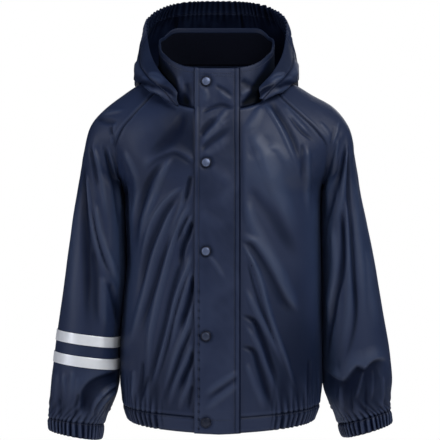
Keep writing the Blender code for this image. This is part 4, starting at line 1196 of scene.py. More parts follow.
def read_line(grid: Array, place: float, turn: float) -> tuple[Array, Array]:
    """Read a grid along a line at a distance from its first or last row.

    Args:
        grid: the points.
        place: distance from the first row in metres; below 0 from the last one.
        turn: sign that makes the normals point out.

    Returns:
        Points and unit normals, one for each column.
    """
    runs = column_runs(grid)
    normals = grid_normals(grid) * turn
    points, ups = [], []
    for column in range(grid.shape[1]):
        run = runs[:, column]
        at = place if place >= 0.0 else run[-1] + place
        points.append([np.interp(at, run, grid[:, column, axis]) for axis in range(3)])
        ups.append([np.interp(at, run, normals[:, column, axis]) for axis in range(3)])
    return np.array(points), unit(np.array(ups))


@dataclass
class Stitching:
    """Rows of machine stitches, joined in one mesh."""

    name: str
    pitch: float = 0.0030
    length: float = 0.0023
    width: float = 0.00075
    rise: float = 0.00034
    points: list = field(default_factory=list)
    faces: list = field(default_factory=list)

    RINGS = ((-0.5, 0.0, -0.4), (-0.34, 0.85, 0.75), (0.34, 0.85, 0.75), (0.5, 0.0, -0.4))
    SIDES = 6
    TIP = 0.15

    def run(self, line: Array, ups: Array, first: float = 0.0, last: float = 1.0) -> None:
        """Add one row of stitches.

        Args:
            line: points that the row follows.
            ups: the cloth's normals there.
            first: share of the line where the row begins.
            last: share where it ends.
        """
        runs = lengths_along(line)
        begin, end = runs[-1] * first, runs[-1] * last
        places = np.arange(begin + self.pitch, end - self.pitch, self.pitch)
        if len(places) == 0:
            return
        centres = along(line, places)
        heads = unit(along(line, places + 0.4 * self.pitch) - along(line, places - 0.4 * self.pitch))
        normals = unit(np.stack([np.interp(places, runs, ups[:, axis]) for axis in range(3)], axis=1))
        sideways = unit(np.cross(heads, normals))
        normals = np.cross(sideways, heads)
        angles = np.linspace(0.0, 2.0 * math.pi, self.SIDES, endpoint=False)
        start = len(self.points)
        for centre, head, side, up in zip(centres, heads, sideways, normals):
            for place, size, lift in self.RINGS:
                middle = centre + head * place * self.length + up * lift * self.rise
                radius = max(size, self.TIP)
                for angle in angles:
                    across = side * math.cos(angle) * self.width * 0.5 * radius
                    self.points.append(middle + across + up * math.sin(angle) * self.rise * 0.8 * radius)
        ring_count = len(self.RINGS)
        for number in range(len(places)):
            base = start + number * ring_count * self.SIDES
            for ring in range(ring_count - 1):
                for index in range(self.SIDES):
                    following = (index + 1) % self.SIDES
                    near, far = base + ring * self.SIDES, base + (ring + 1) * self.SIDES
                    self.faces.append((near + index, near + following, far + following, far + index))
            last_ring = base + (ring_count - 1) * self.SIDES
            self.faces.append(tuple(base + index for index in range(self.SIDES - 1, -1, -1)))
            self.faces.append(tuple(last_ring + index for index in range(self.SIDES)))

    def build(self, finish: "Finish", slot: str) -> bpy.types.Object:
        """Make the stitches' object."""
        return mesh_object(self.name, np.array(self.points), self.faces, None, finish)


# Finishes


def linear(colour: str) -> tuple:
    """Turn an sRGB hex colour such as #1c2438 to linear red, green, blue and alpha."""
    parts = [int(colour[place : place + 2], 16) / 255.0 for place in (1, 3, 5)]
    return (*(part / 12.92 if part <= 0.04045 else ((part + 0.055) / 1.055) ** 2.4 for part in parts), 1.0)


def add_node(tree: bpy.types.NodeTree, kind: str, settings: dict, links: dict) -> bpy.types.Node:
    """Add a node.

    Args:
        tree: the node tree.
        kind: the node's type, such as ShaderNodeBump.
        settings: values of its properties and of its input sockets, by name or number.
        links: input sockets by name or number, each with the output socket that feeds it.

    Returns:
        The new node.
    """
    node = tree.nodes.new(kind)
    for name, value in settings.items():
        if isinstance(name, int) or name in node.inputs:
            node.inputs[name].default_value = value
        else:
            setattr(node, name, value)
    for name, source in links.items():
        tree.links.new(source, node.inputs[name])
    return node


def add_ramp(
    tree: bpy.types.NodeTree, source: bpy.types.NodeSocket, stops: Sequence
) -> bpy.types.NodeSocket:
    """Add a colour ramp.

    Args:
        tree: the node tree.
        source: what the ramp reads.
        stops: pairs of a place and a hex colour.

    Returns:
        The ramp's colour output.
    """
    ramp = add_node(tree, "ShaderNodeValToRGB", {}, {"Fac": source})
    elements = ramp.color_ramp.elements
    while len(elements) < len(stops):
        elements.new(0.5)
    for element, (place, colour) in zip(elements, stops):
        element.position = place
        element.color = linear(colour)
    return ramp.outputs["Color"]


def add_tint(
    tree: bpy.types.NodeTree, shader: bpy.types.Node, source: bpy.types.NodeSocket, stops: Sequence
) -> None:
    """Colour a shader by a ramp over a source."""
    tree.links.new(add_ramp(tree, source, stops), shader.inputs["Base Color"])


def add_noise(
    tree: bpy.types.NodeTree, scale: float, detail: float, distortion: float = 0.0
) -> bpy.types.NodeSocket:
    """Add noise over an object's own coordinates.

    Args:
        tree: the node tree.
        scale: grains in a metre.
        detail: how many finer layers it has.
        distortion: how far it is stirred.

    Returns:
        The noise's factor.
    """
    place = add_node(tree, "ShaderNodeTexCoord", {}, {}).outputs["Object"]
    settings = {"Scale": scale, "Detail": detail, "Distortion": distortion}
    return add_node(tree, "ShaderNodeTexNoise", settings, {"Vector": place}).outputs["Fac"]


def add_range(
    tree: bpy.types.NodeTree, source: bpy.types.NodeSocket, read: tuple, give: tuple = (0.0, 1.0)
) -> bpy.types.NodeSocket:
    """Add a node that turns the lowest and highest value read into the two that it gives."""
    settings = {"From Min": read[0], "From Max": read[1], "To Min": give[0], "To Max": give[1]}
    return add_node(tree, "ShaderNodeMapRange", settings, {"Value": source}).outputs["Result"]


def add_relief(tree: bpy.types.NodeTree, noise: bpy.types.NodeSocket, amount: float) -> bpy.types.NodeSocket:
    """Add the painted light that is written on the points, made uneven by noise.

    Args:
        tree: the node tree.
        noise: the noise.
        amount: how much the noise changes the painted light, from its lowest to its highest value.

    Returns:
        The sum.
    """
    relief = add_node(tree, "ShaderNodeAttribute", {"attribute_name": "relief"}, {}).outputs["Fac"]
    settings = {"operation": "MULTIPLY_ADD", 1: amount, 2: -0.5 * amount}
    worn = add_node(tree, "ShaderNodeMath", settings, {0: noise}).outputs[0]
    return add_node(tree, "ShaderNodeMath", {"operation": "ADD"}, {0: relief, 1: worn}).outputs[0]


def add_bump(
    tree: bpy.types.NodeTree,
    shader: bpy.types.Node,
    height: bpy.types.NodeSocket,
    strength: float,
    depth: float,
) -> None:
    """Add a bump over what the shader's normal has so far.

    Args:
        tree: the node tree.
        shader: the shader.
        height: what the bump reads.
        strength: its share.
        depth: how deep it is, in metres.
    """
    normal = shader.inputs["Normal"]
    below = {"Normal": normal.links[0].from_socket} if normal.is_linked else {}
    settings = {"Strength": strength, "Distance": depth}
    bump = add_node(tree, "ShaderNodeBump", settings, {"Height": height, **below})
    tree.links.new(bump.outputs["Normal"], normal)


class Finish:
    """A material, made once and shared by its pieces, with its shader's even settings."""

    title = "finish"
    settings: ClassVar[dict] = {}

    def material(self) -> bpy.types.Material:
        """The finish's material, made when it is first asked for."""
        found = bpy.data.materials.get(self.title)
        if found:
            return found
        made = bpy.data.materials.new(self.title)
        made.use_nodes = True
        shader = made.node_tree.nodes["Principled BSDF"]
        for name, value in self.settings.items():
            shader.inputs[name].default_value = value
        self.dress(made.node_tree, shader)
        return made

    def dress(self, tree: bpy.types.NodeTree, shader: bpy.types.Node) -> None:
        """Link what varies over the surface; nothing for an even finish."""


@dataclass(frozen=True)
class CoatedSatin(Finish):
    """Polyester knit with a satin polyurethane coat, transfer-coated: a smooth, slightly waxy navy skin.

    Its colour is painted light: nearly black as painted shade in the troughs, lighter as a painted highlight
    along each fold, and its specular level follows; lamps add broad soft highlights, over a very fine grain
    from the release paper.
    """

    title: str = "polyurethane_coated_satin"
    # ramp of painted light, from painted shade in the deepest hollows to a painted highlight on the folds
    colours: tuple = (
        (0.0, "#03060d"), (0.23, "#080e1f"), (0.45, "#101a30"),
        (0.615, "#18233d"), (0.81, "#1e2b46"), (1.0, "#263450"),
    )
    grain: float = 0.7
    reliefs: tuple = (-1.6, 1.0)
    roughness: tuple = (0.51, 0.60)
    gloss: tuple = (0.04, 0.70)
    settings: ClassVar[dict] = {
        "IOR": 1.42, "Sheen Weight": 0.05, "Sheen Roughness": 0.4, "Sheen Tint": linear("#8ea0c8"),
    }

    def dress(self, tree: bpy.types.NodeTree, shader: bpy.types.Node) -> None:
        """Set the shader up."""
        cloudy = add_noise(tree, 22.0, 4.0)
        # base colour and specular level follow the points' painted light: painted shade in hollows, painted
        # highlight on folds
        share = add_range(tree, add_relief(tree, cloudy, 0.22), self.reliefs)
        add_tint(tree, shader, share, self.colours)
        add_bump(tree, shader, add_noise(tree, 140.0, 3.0, 0.4), 0.35, 0.0006)
        add_bump(tree, shader, add_noise(tree, 1000.0 / self.grain, 2.0), 0.25, 0.0001)
        tree.links.new(add_range(tree, cloudy, (0.3, 0.7), self.roughness), shader.inputs["Roughness"])
        tree.links.new(add_range(tree, share, (0.25, 1.0), self.gloss), shader.inputs["Specular IOR Level"])


@dataclass(frozen=True)
class BrushedLining(Finish):
    """Brushed polyester tricot, napped: a matt, nearly black navy with a faint fuzz at its edges."""

    title: str = "brushed_tricot_lining"
    nap: float = 1.2
    settings: ClassVar[dict] = {
        "Roughness": 0.92, "Specular IOR Level": 0.06, "Sheen Weight": 0.05, "Sheen Roughness": 0.6,
        "Sheen Tint": linear("#3a4668"),
    }

    def dress(self, tree: bpy.types.NodeTree, shader: bpy.types.Node) -> None:
        """Set the shader up."""
        nap = add_noise(tree, 1000.0 / self.nap, 4.0)
        add_tint(tree, shader, nap, ((0.3, "#02030a"), (0.75, "#070a15")))
        add_bump(tree, shader, nap, 0.5, 0.0003)


@dataclass(frozen=True)
class ReflectiveTape(Finish):
    """Glass-bead retroreflective tape: silver-grey with a soft metallic shine and a fine beaded grain."""

    title: str = "glass_bead_reflective_tape"
    bead: float = 0.5
    settings: ClassVar[dict] = {"Metallic": 0.35, "Roughness": 0.36}

    def dress(self, tree: bpy.types.NodeTree, shader: bpy.types.Node) -> None:
        """Set the shader up."""
        place = add_node(tree, "ShaderNodeTexCoord", {}, {}).outputs["Object"]
        beads = add_node(tree, "ShaderNodeTexVoronoi", {"Scale": 1000.0 / self.bead}, {"Vector": place})
        add_tint(tree, shader, add_noise(tree, 60.0, 3.0), ((0.3, "#dfe2e6"), (0.7, "#e9ebee")))
        add_bump(tree, shader, beads.outputs["Distance"], 0.2, 0.0001)


@dataclass(frozen=True)
class PaintedStud(Finish):
    """Stamped brass press-stud cap, painted navy: a satin dome whose colour carries painted light, a lighter
    dome as a painted highlight, a painted shadow ring round the rim and darker domes on the lower studs.
    """

    title: str = "painted_brass_stud"
    fleck: float = 0.8
    settings: ClassVar[dict] = {"Metallic": 0.45, "Roughness": 0.42}

    def dress(self, tree: bpy.types.NodeTree, shader: bpy.types.Node) -> None:
        """Set the shader up."""
        # painted light read from the points: lighter domes and a painted shadow ring at the rim, made uneven
        # by flecks
        level = add_relief(tree, add_noise(tree, 1000.0 / self.fleck, 2.0), 0.16)
        add_tint(tree, shader, level, ((0.2, "#0a1124"), (0.9, "#56617c")))


@dataclass(frozen=True)
class SewingThread(Finish):
    """Spun polyester thread, navy: a shade lighter than the cloth, with a soft twist."""

    title: str = "spun_polyester_thread"
    settings: ClassVar[dict] = {"Roughness": 0.6}

    def dress(self, tree: bpy.types.NodeTree, shader: bpy.types.Node) -> None:
        """Set the shader up."""
        add_tint(tree, shader, add_noise(tree, 1600.0, 1.0), ((0.3, "#161c2e"), (0.7, "#222a40")))


@dataclass(frozen=True)
class PaleFloor(Finish):
    """Matt painted board: a plain, nearly white floor."""

    title: str = "matt_white_board"
    settings: ClassVar[dict] = {"Roughness": 0.9}

    def dress(self, tree: bpy.types.NodeTree, shader: bpy.types.Node) -> None:
        """Set the shader up."""
        add_tint(tree, shader, add_noise(tree, 3.0, 2.0), ((0.3, "#e9e9e9"), (0.7, "#eeeeee")))


@dataclass(frozen=True)
class WhiteBackdrop(Finish):
    """Evenly lit white cloth behind the coat: it shows as plain white."""

    title: str = "lit_white_backdrop"
    settings: ClassVar[dict] = {
        "Base Color": (0.0, 0.0, 0.0, 1.0), "Specular IOR Level": 0.0,
        "Emission Color": (1.0, 1.0, 1.0, 1.0), "Emission Strength": 1.0,
    }


SATIN, LINING, TAPE = CoatedSatin(), BrushedLining(), ReflectiveTape()
STUD, THREAD = PaintedStud(), SewingThread()


# Sub-assemblies


@dataclass(frozen=True)
class SideFit:
    """What differs between the sides, in metres.

    flap_edge is the flap's edge on the front, hem_flat the end of the hem's flat stretch and touch_end how
    low the sleeve touches the body.
    """

    flap_edge: float
    hem_flat: float
    touch_end: float


SIDE_FITS = {Side.RIGHT: SideFit(0.0345, 0.078, -0.454), Side.LEFT: SideFit(0.0305, 0.072, -0.456)}


@dataclass
class Panels:
    """The fronts, the back and the sleeves with their hems and cuffs.

    Lengths are in metres. A tuple of four is a window of z, or of how far the cloth faces sideways, and
    touch_reach is the upper half of one.
    """

    form: CoatForm
    spacing: float = 0.0020
    band_spacing: float = 0.0011
    cuff_spacing: float = 0.0010
    row_spacing: float = 0.0015
    half_width: float = 0.185
    sleeve_width: float = 0.330
    cuff_width: float = 0.215
    hold: float = 0.012
    seam_hold: float = 0.0015
    armpit: tuple = (-0.172, -0.150, -0.092, -0.070)
    turned: tuple = (0.30, 0.70, 0.84, 0.98)
    side_bulge: tuple = (-0.400, -0.340, -0.190, -0.150)
    side_lit: tuple = (-0.400, -0.290, -0.190, -0.150)
    touch_reach: tuple = (-0.146, -0.118)
    edge_line: float = 0.0030
    band_line: float = 0.0016
    roll: float = 0.0030
    roll_depth: float = 0.0010
    lip: float = 0.0005
    touch: float = 0.0075
    touch_y: float = 0.026
    touch_width: float = 0.017
    touch_fade: float = 0.028
    square: float = 0.0035
    stitches: Stitching = field(default_factory=lambda: Stitching("stitching_body"))
    hem: Gathers = Gathers(length=0.0088, depth=0.0021, seed=11, reach=0.062)
    cuff: Gathers = Gathers(length=0.0070, depth=0.0023, seed=23, reach=0.040)
    sheets: dict = field(default_factory=dict)

    def seam_roll(self, base: Array, first: bool = True, last: bool = True) -> Array:
        """How far the outer face dips where a panel's edges turn into its seams.

        Args:
            base: the panel's grid.
            first: whether the first column is a seam.
            last: whether the last column is one.

        Returns:
            Heights, 0 away from the seams.
        """
        across, down = row_runs(base), column_runs(base)
        near = np.minimum(down, down[-1:] - down)
        if first:
            near = np.minimum(near, across)
        if last:
            near = np.minimum(near, across[:, -1:] - across)
        lip = self.lip * np.exp(-(((near - 1.5 * self.roll) / (0.6 * self.roll)) ** 2))
        armpit = window(base[..., 2], *self.armpit) * smoothstep(0.120, 0.130, base[..., 0])
        return (lip - self.roll_depth * (1.0 - smoothstep(0.0, self.roll, near)) ** 1.5) * (1.0 - armpit)

    def drift(self, seed: int, across: Array, down: Array) -> Array:
        """Slow unevenness and slight crumpling of cloth that has been folded and worn."""
        slow = SmoothNoise(seed).at(across / 0.040, down / 0.090) * 0.0011
        soft = SmoothNoise(seed + 1).at(across / 0.017 + down / 0.080, down / 0.055) * 0.0004
        return slow + soft

    def levels(self, last: float) -> Array:
        """Levels down a panel, an odd number with closer ones at both seams."""
        return spaced(last, self.spacing, self.roll) * last

    def hem_fade(self, side: Side | None, x: Array) -> Array:
        """Where the hem is gathered, from 0 to 1."""
        if side is None:
            return np.ones(x.shape)
        flat = SIDE_FITS[side].hem_flat
        return smoothstep(flat - 0.006, flat + 0.016, x)

    def front(self, side: Side) -> None:
        """One front and its hem."""
        form = self.form
        levels, shares = self.levels(form.hem_stitch), spaced(self.half_width, self.spacing, self.roll)
        base = form.panel(side, levels, shares)
        normals = grid_normals(base)
        x, z = base[..., 0], base[..., 2]
        under = SIDE_FITS[side].flap_edge
        clear = smoothstep(under, under + 0.007, x)
        folds = crease_height(FRONT_CREASES[side], x, z) * facing(normals, -1.0)
        folds = np.where(folds > 0.0, folds * clear, folds * smoothstep(under - 0.004, under + 0.002, x))
        above = form.hem_stitch - levels[:, None]
        run = row_runs(base)
        gathers = self.hem.height(run, above) * self.hem_fade(side, x)
        drift = self.drift(40 + int(side.value), run, levels[:, None]) * clear
        hold = smoothstep(0.0, self.hold, np.minimum(column_runs(base), run[:, -1:] - run + self.seam_hold))
        roll = self.seam_roll(base, first=False)
        bulge = window(normals[..., 0], *self.turned) * window(z, *self.side_bulge)
        height = (folds + drift) * hold + gathers + roll + 0.6 * self.square * bulge * hold
        # painted highlight where the cloth turns sideways at the waist, over the folds' painted light
        lit = smoothstep(0.62, 0.92, normals[..., 0]) * window(z, *self.side_lit)
        relief = relief_of(folds * hold, gathers, roll) + 0.6 * lit
        self.sheet(f"front_{side.word}", base, normals, height, side, relief)
        self.hem_band(f"hem_front_{side.word}", side, lambda at, across: form.panel(side, at, across))

    def hem_band(self, name: str, side: Side | None, surface: Callable) -> None:
        """Turned-up hem below a panel.

        Args:
            name: the piece's name.
            side: the wearer's side, or None for the back.
            surface: function that gives the surface at levels and shares.
        """
        form = self.form
        depth = form.hem_end - form.hem_stitch
        shares = spaced(self.half_width, self.band_spacing)
        levels = form.hem_stitch + depth * spaced(depth, self.row_spacing, self.roll)
        base = surface(levels, shares)
        normals = grid_normals(base)
        run = row_runs(surface(np.array([form.hem_stitch]), shares))
        below = form.hem_stitch - levels[:, None]
        fade = self.hem_fade(side, base[..., 0])
        share = -below / depth
        puff = 0.0007 * np.sin(np.pi * np.clip(share, 0.0, 1.0)) + 0.9 * self.seam_roll(base, first=False)
        swell = 0.8 + 0.5 * np.sin(np.pi * share * 0.8)
        waves = self.hem.height(run, below, 0.85) * swell * fade
        # painted shade over the gathered part of the hem, with painted highlights on the waves' crests
        relief = relief_of(-0.0008 - 0.0026 * fade, 1.35 * waves, 0.6 * puff)
        self.sheet(name, base, normals, waves + puff, side or Side.LEFT, relief)

    def sheet(
        self, name: str, base: Array, normals: Array, height: Array, side: Side, relief: Array
    ) -> None:
        """Build one panel and keep it for its stitches.

        Args:
            name: the piece's name.
            base: the grid of its solid's form.
            normals: its normals.
            height: how far the cloth stands above the form.
            side: the wearer's side.
            relief: painted shade and highlight of each point, for the finish.
        """
        made = ClothSheet(name, base, normals, height, mirror=side.mirror, shift=self.form, relief=relief)
        made.build(SATIN, "shell")
        self.sheets[name] = made

    def back(self) -> None:
        """The back and its hem."""
        form = self.form
        levels, length = self.levels(form.hem_stitch), self.half_width
        near_seam = self.roll * np.array((1.0, 0.72, 0.45, 0.2, 0.0)) / length
        even = np.linspace(0.0, 1.0 - near_seam[0], int(length / self.spacing))
        half = np.append(even[:-1], 1.0 - near_seam)
        base = form.whole_back(levels, half)
        normals = grid_normals(base)
        x, z = base[..., 0], base[..., 2]
        run = row_runs(base)
        folds = crease_height(BACK_CREASES, x, z) * facing(normals, 1.0)
        above = form.hem_stitch - levels[:, None]
        gathers = self.hem.height(run, above)
        near = np.minimum(column_runs(base), np.minimum(run, run[:, -1:] - run) + self.seam_hold)
        drift = self.drift(50, run, levels[:, None])
        roll = self.seam_roll(base)
        height = (folds + drift) * smoothstep(0.0, self.hold, near) + gathers + roll
        self.sheet("back", base, normals, height, Side.LEFT, relief_of(folds, gathers, roll))
        self.hem_band("hem_back", None, form.whole_back)

    def sleeve(self, side: Side) -> None:
        """One sleeve and its cuff."""
        form = self.form
        levels, shares = self.levels(form.cuff_stitch), spaced(self.sleeve_width, self.spacing, self.roll)
        base = form.sleeve(side, levels, shares)
        normals = grid_normals(base)
        seam = unit(normals[:, 0] + normals[:, -1])
        under = levels >= form.underarm
        normals[under, 0] = normals[under, -1] = seam[under]
        x, z = base[..., 0], base[..., 2]
        run = row_runs(base)
        folds = crease_height(SLEEVE_CREASES[side], x, z) * facing(normals, -1.0)
        folds += crease_height(SLEEVE_BACK_CREASES, x, z) * facing(normals, 1.0)
        above = form.cuff_stitch - levels[:, None]
        gathers = self.cuff.height(run, above)
        near = np.minimum(column_runs(base), np.minimum(run, run[:, -1:] - run) + self.seam_hold)
        drift = self.drift(60 + int(side.value), run, levels[:, None])
        roll = self.seam_roll(base)
        height = (folds + drift) * smoothstep(0.0, self.hold, near) + gathers + roll
        height += self.body_touch(side, base, normals)
        relief = relief_of(folds, gathers, roll)
        # painted light on the sleeve's inner side by the body, where the shade falls between sleeve and body
        lit = 0.9 if side is Side.LEFT else 0.8 * smoothstep(-0.330, -0.270, z)
        relief += lit * smoothstep(0.40, 0.85, -normals[..., 0]) * smoothstep(-0.120, -0.165, z)
        self.sheet(f"sleeve_{side.word}", base, normals, height, side, relief)
        self.cuff_band(side)

    def body_touch(self, side: Side, base: Array, normals: Array) -> Array:
        """How far the sleeve bulges in behind the body's side seam, where the two hang against each other.

        Args:
            side: the wearer's side.
            base: the sleeve's grid.
            normals: its normals.

        Returns:
            Heights, 0 away from the inner side.
        """
        inward, y, z = -normals[..., 0], base[..., 1], base[..., 2]
        behind = smoothstep(0.35, 0.85, inward) * np.exp(-(((y - self.touch_y) / self.touch_width) ** 2))
        end = SIDE_FITS[side].touch_end
        reach = window(z, end, end + self.touch_fade, *self.touch_reach)
        front = window(inward, 0.20, 0.60, 0.84, 0.98) * facing(normals, -1.0)
        front = front * smoothstep(*self.side_bulge[:2], z)
        return (self.touch * behind + self.square * front) * reach

    def cuff_band(self, side: Side) -> None:
        """Gathered end of a sleeve."""
        form = self.form
        depth = form.cuff_end - form.cuff_stitch
        shares = spaced(self.cuff_width, self.cuff_spacing)
        levels = form.cuff_stitch + depth * spaced(depth, self.row_spacing, self.roll)
        base = form.sleeve(side, levels, shares)
        normals = grid_normals(base)
        seam = unit(normals[:, 0] + normals[:, -1])
        normals[:, 0] = normals[:, -1] = seam
        run = row_runs(form.sleeve(side, np.array([form.cuff_stitch]), shares))
        below = form.cuff_stitch - levels[:, None]
        share = -below / depth
        puff = 0.0008 * np.sin(np.pi * np.clip(share, 0.0, 1.0)) + 0.9 * self.seam_roll(base)
        waves = self.cuff.height(run, below) * (0.85 + 0.5 * np.sin(np.pi * share * 0.8))
        # painted shade over the whole cuff, with painted highlights on the waves' crests
        relief = relief_of(-0.0036, 1.6 * waves, 0.6 * puff)
        self.sheet(f"cuff_{side.word}", base, normals, waves + puff, side, relief)

    def sew(self) -> None:
        """Topstitching along the raglan seams, the hem and the cuffs."""
        form = self.form
        for side in Side:
            front = self.sheets[f"front_{side.word}"]
            length = form.hem_stitch
            self.stitches.run(*front.line_down(-self.edge_line), 0.01, (form.underarm - 0.01) / length)
            for name in (f"hem_front_{side.word}", f"cuff_{side.word}"):
                self.stitches.run(*self.sheets[name].line_across(self.band_line))
        self.stitches.run(*self.sheets["hem_back"].line_across(self.band_line))
        self.stitches.build(THREAD, "shell")

    def build(self) -> None:
        """Build every panel."""
        for side in Side:
            self.front(side)
            self.sleeve(side)
        self.back()
        self.sew()


@dataclass
class Tapes:
    """Two reflective tapes round the wearer's right sleeve."""

    panels: Panels
    bands: tuple = (("tape_upper", 0.388, 0.403), ("tape_lower", 0.4195, 0.4345))
    lay: float = 0.0004
    wall: float = 0.0007
    spacing: float = 0.0012

    def build(self) -> None:
        """Build both tapes from the sleeve's own outer face."""
        sleeve = self.panels.sheets["sleeve_right"]
        levels = self.panels.levels(self.panels.form.cuff_stitch)
        for name, top, bottom in self.bands:
            at = spaced(bottom - top, self.spacing) * (bottom - top) + top
            base, normals, height = (
                rows_at(part, levels, at) for part in (sleeve.base, sleeve.normals, sleeve.height[..., None])
            )
            lift = height[..., 0] + self.lay + self.wall
            tape = ClothSheet(name, base, normals, lift, wall=self.wall, mirror=Side.RIGHT.mirror)
            tape.build(TAPE, "tape")


@dataclass
class Collar:
    """Stand collar with its cloth turned over the top edge, and the lining inside it."""

    form: CoatForm
    wall: float = 0.0015
    rim: float = 0.0070
    height: float = 0.0565
    droop: float = 0.012
    corner: float = 0.058
    corner_reach: float = 0.0205
    turn_rise: float = 0.985
    turn_height: float = 0.03
    dent: float = 0.0013
    stitch_line: float = 0.0055
    gap: float = 0.0003
    front_gap: float = 0.0004
    lining_wall: float = 0.0011
    nap: float = 0.0004
    spacing: float = 0.0018
    stitches: Stitching = field(default_factory=lambda: Stitching("stitching_collar"))

    def columns(self, rises: Array) -> tuple[Array, Array]:
        """Points and normals of the collar's outer face.

        Args:
            rises: from the neck seam (0) to the top edge (1).

        Returns:
            Grids from the wearer's left front round the back to the right front, rows from the top down.
        """
        form = self.form
        start = math.degrees(self.front_gap / form.neck_half_width)
        run = lengths_along(form.ring_arc(start, 180.0))
        count = int(run[-1] / self.spacing) // 2 * 2 + 1
        angles = np.interp(np.linspace(0.0, run[-1], count), run, np.linspace(start, 180.0, form.fine))

        def whole(levels: Array) -> Array:
            left = np.stack([form.ring(angles, rise) for rise in levels])
            return np.concatenate([left, left[:, -2::-1] * Side.RIGHT.mirror], axis=1)

        normals = grid_normals(whole(np.array((1.0, 0.5, 0.0))))[1]
        grid = whole(rises)
        corner = np.clip((abs(grid[..., 0]) - self.corner) / self.corner_reach, 0.0, 1.0) ** 2
        corner = corner * smoothstep(-0.070, -0.005, grid[..., 1])
        grid[..., 2] -= self.droop * corner * np.clip(rises, 0.0, 1.0)[:, None] ** 2
        return grid, normals

    def build(self) -> None:
        """Build the collar, its lining and its topstitching."""
        seam, rim, top = self.gap / self.height, 1.0 - self.rim / self.height, self.turn_rise
        outer = [(rise, 0.0) for rise in np.linspace(seam, top, 24)]
        curl = [
            (top + self.turn_height * math.sin(turn), -self.wall * (1.0 - math.cos(turn)))
            for turn in np.linspace(0.15 * math.pi, 0.85 * math.pi, 5)
        ]
        inner = [(rise, -2.0 * self.wall) for rise in np.linspace(top, rim, 5)]
        below = [(rim, -self.wall)] + [(rise, -self.wall) for rise in np.linspace(rim, seam, 13)[1:]]
        rises, lifts = np.array(outer + curl + inner + below).T
        grid, normals = self.columns(rises)
        run = lengths_along(grid[0])
        dents = SmoothNoise(71).at(run[None, :] / 0.042, rises[:, None] * 1.2)
        dents = dents * self.dent * np.sin(np.pi * np.minimum(1.0, rises))[:, None]
        folds = np.zeros(grid.shape[:2])
        for side in Side:
            made = crease_height(COLLAR_CREASES[side], abs(grid[..., 0]), grid[..., 2])
            folds = np.where(grid[..., 0] * side.value > 0.0, made, folds)
        normals = np.broadcast_to(normals, grid.shape)
        folds = folds * smoothstep(1.0, 0.86, rises)[:, None] * facing(normals, -1.0)
        loops = self.form.shifted(grid + normals * (lifts[:, None] + dents + folds)[..., None])
        rows, columns = loops.shape[:2]
        faces = []
        for row in range(rows):
            for column in range(columns - 1):
                here, below_here = row * columns + column, ((row + 1) % rows) * columns + column
                faces.append((here, here + 1, below_here + 1, below_here))
        faces.append(tuple(row * columns for row in range(rows)))
        faces.append(tuple(row * columns + columns - 1 for row in range(rows - 1, -1, -1)))
        uv = np.stack([np.broadcast_to(run, (rows, columns)), column_runs(loops)], axis=-1).reshape(-1, 2)
        piece = mesh_object("collar_cloth", loops.reshape(-1, 3), faces, uv, SATIN)
        x, z = abs(grid[..., 0]), grid[..., 2]
        # painted shade on the collar's sides, and a painted shadow in the gap between the hood's edge and
        # the collar's front, on top of the folds' painted light
        shade = smoothstep(0.036, 0.075, x) * 0.5
        hood_gap_shadow = smoothstep(-0.003, 0.006, x - 0.0515 - 0.62 * z) * (grid[..., 1] < 0.03)
        relief = np.tanh((folds + dents) / 0.0024 - shade) - 1.1 * hood_gap_shadow
        # painted shade over the turned-over rows inside the collar
        relief[len(outer) :] = -0.5
        mark_relief(piece, relief)
        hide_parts("collar")
        CUTS["collar"].declare(piece)
        LOG.info("%s: %d faces", piece.name, len(piece.data.polygons))
        self.lining(rim)
        self.stitches.run(*read_line(loops[: len(outer)][::-1], self.stitch_line, 1.0))
        self.stitches.build(THREAD, "shell")

    def lining(self, rim: float) -> None:
        """The brushed lining inside the collar."""
        rises = np.linspace(rim - self.gap / self.height, self.gap / self.height, 27)
        grid, normals = self.columns(rises)
        run = lengths_along(grid[0])
        soft = self.nap * SmoothNoise(77).at(run[None, :] / 0.030, rises[:, None] * 2.0)
        hollow = -self.wall - self.gap - self.nap + np.minimum(soft, 0.0)
        normals = np.broadcast_to(normals, grid.shape)
        wall = self.lining_wall
        sheet = ClothSheet("collar_lining", grid, normals, hollow, wall=wall, step=1, shift=self.form)
        sheet.build(LINING, "lining")


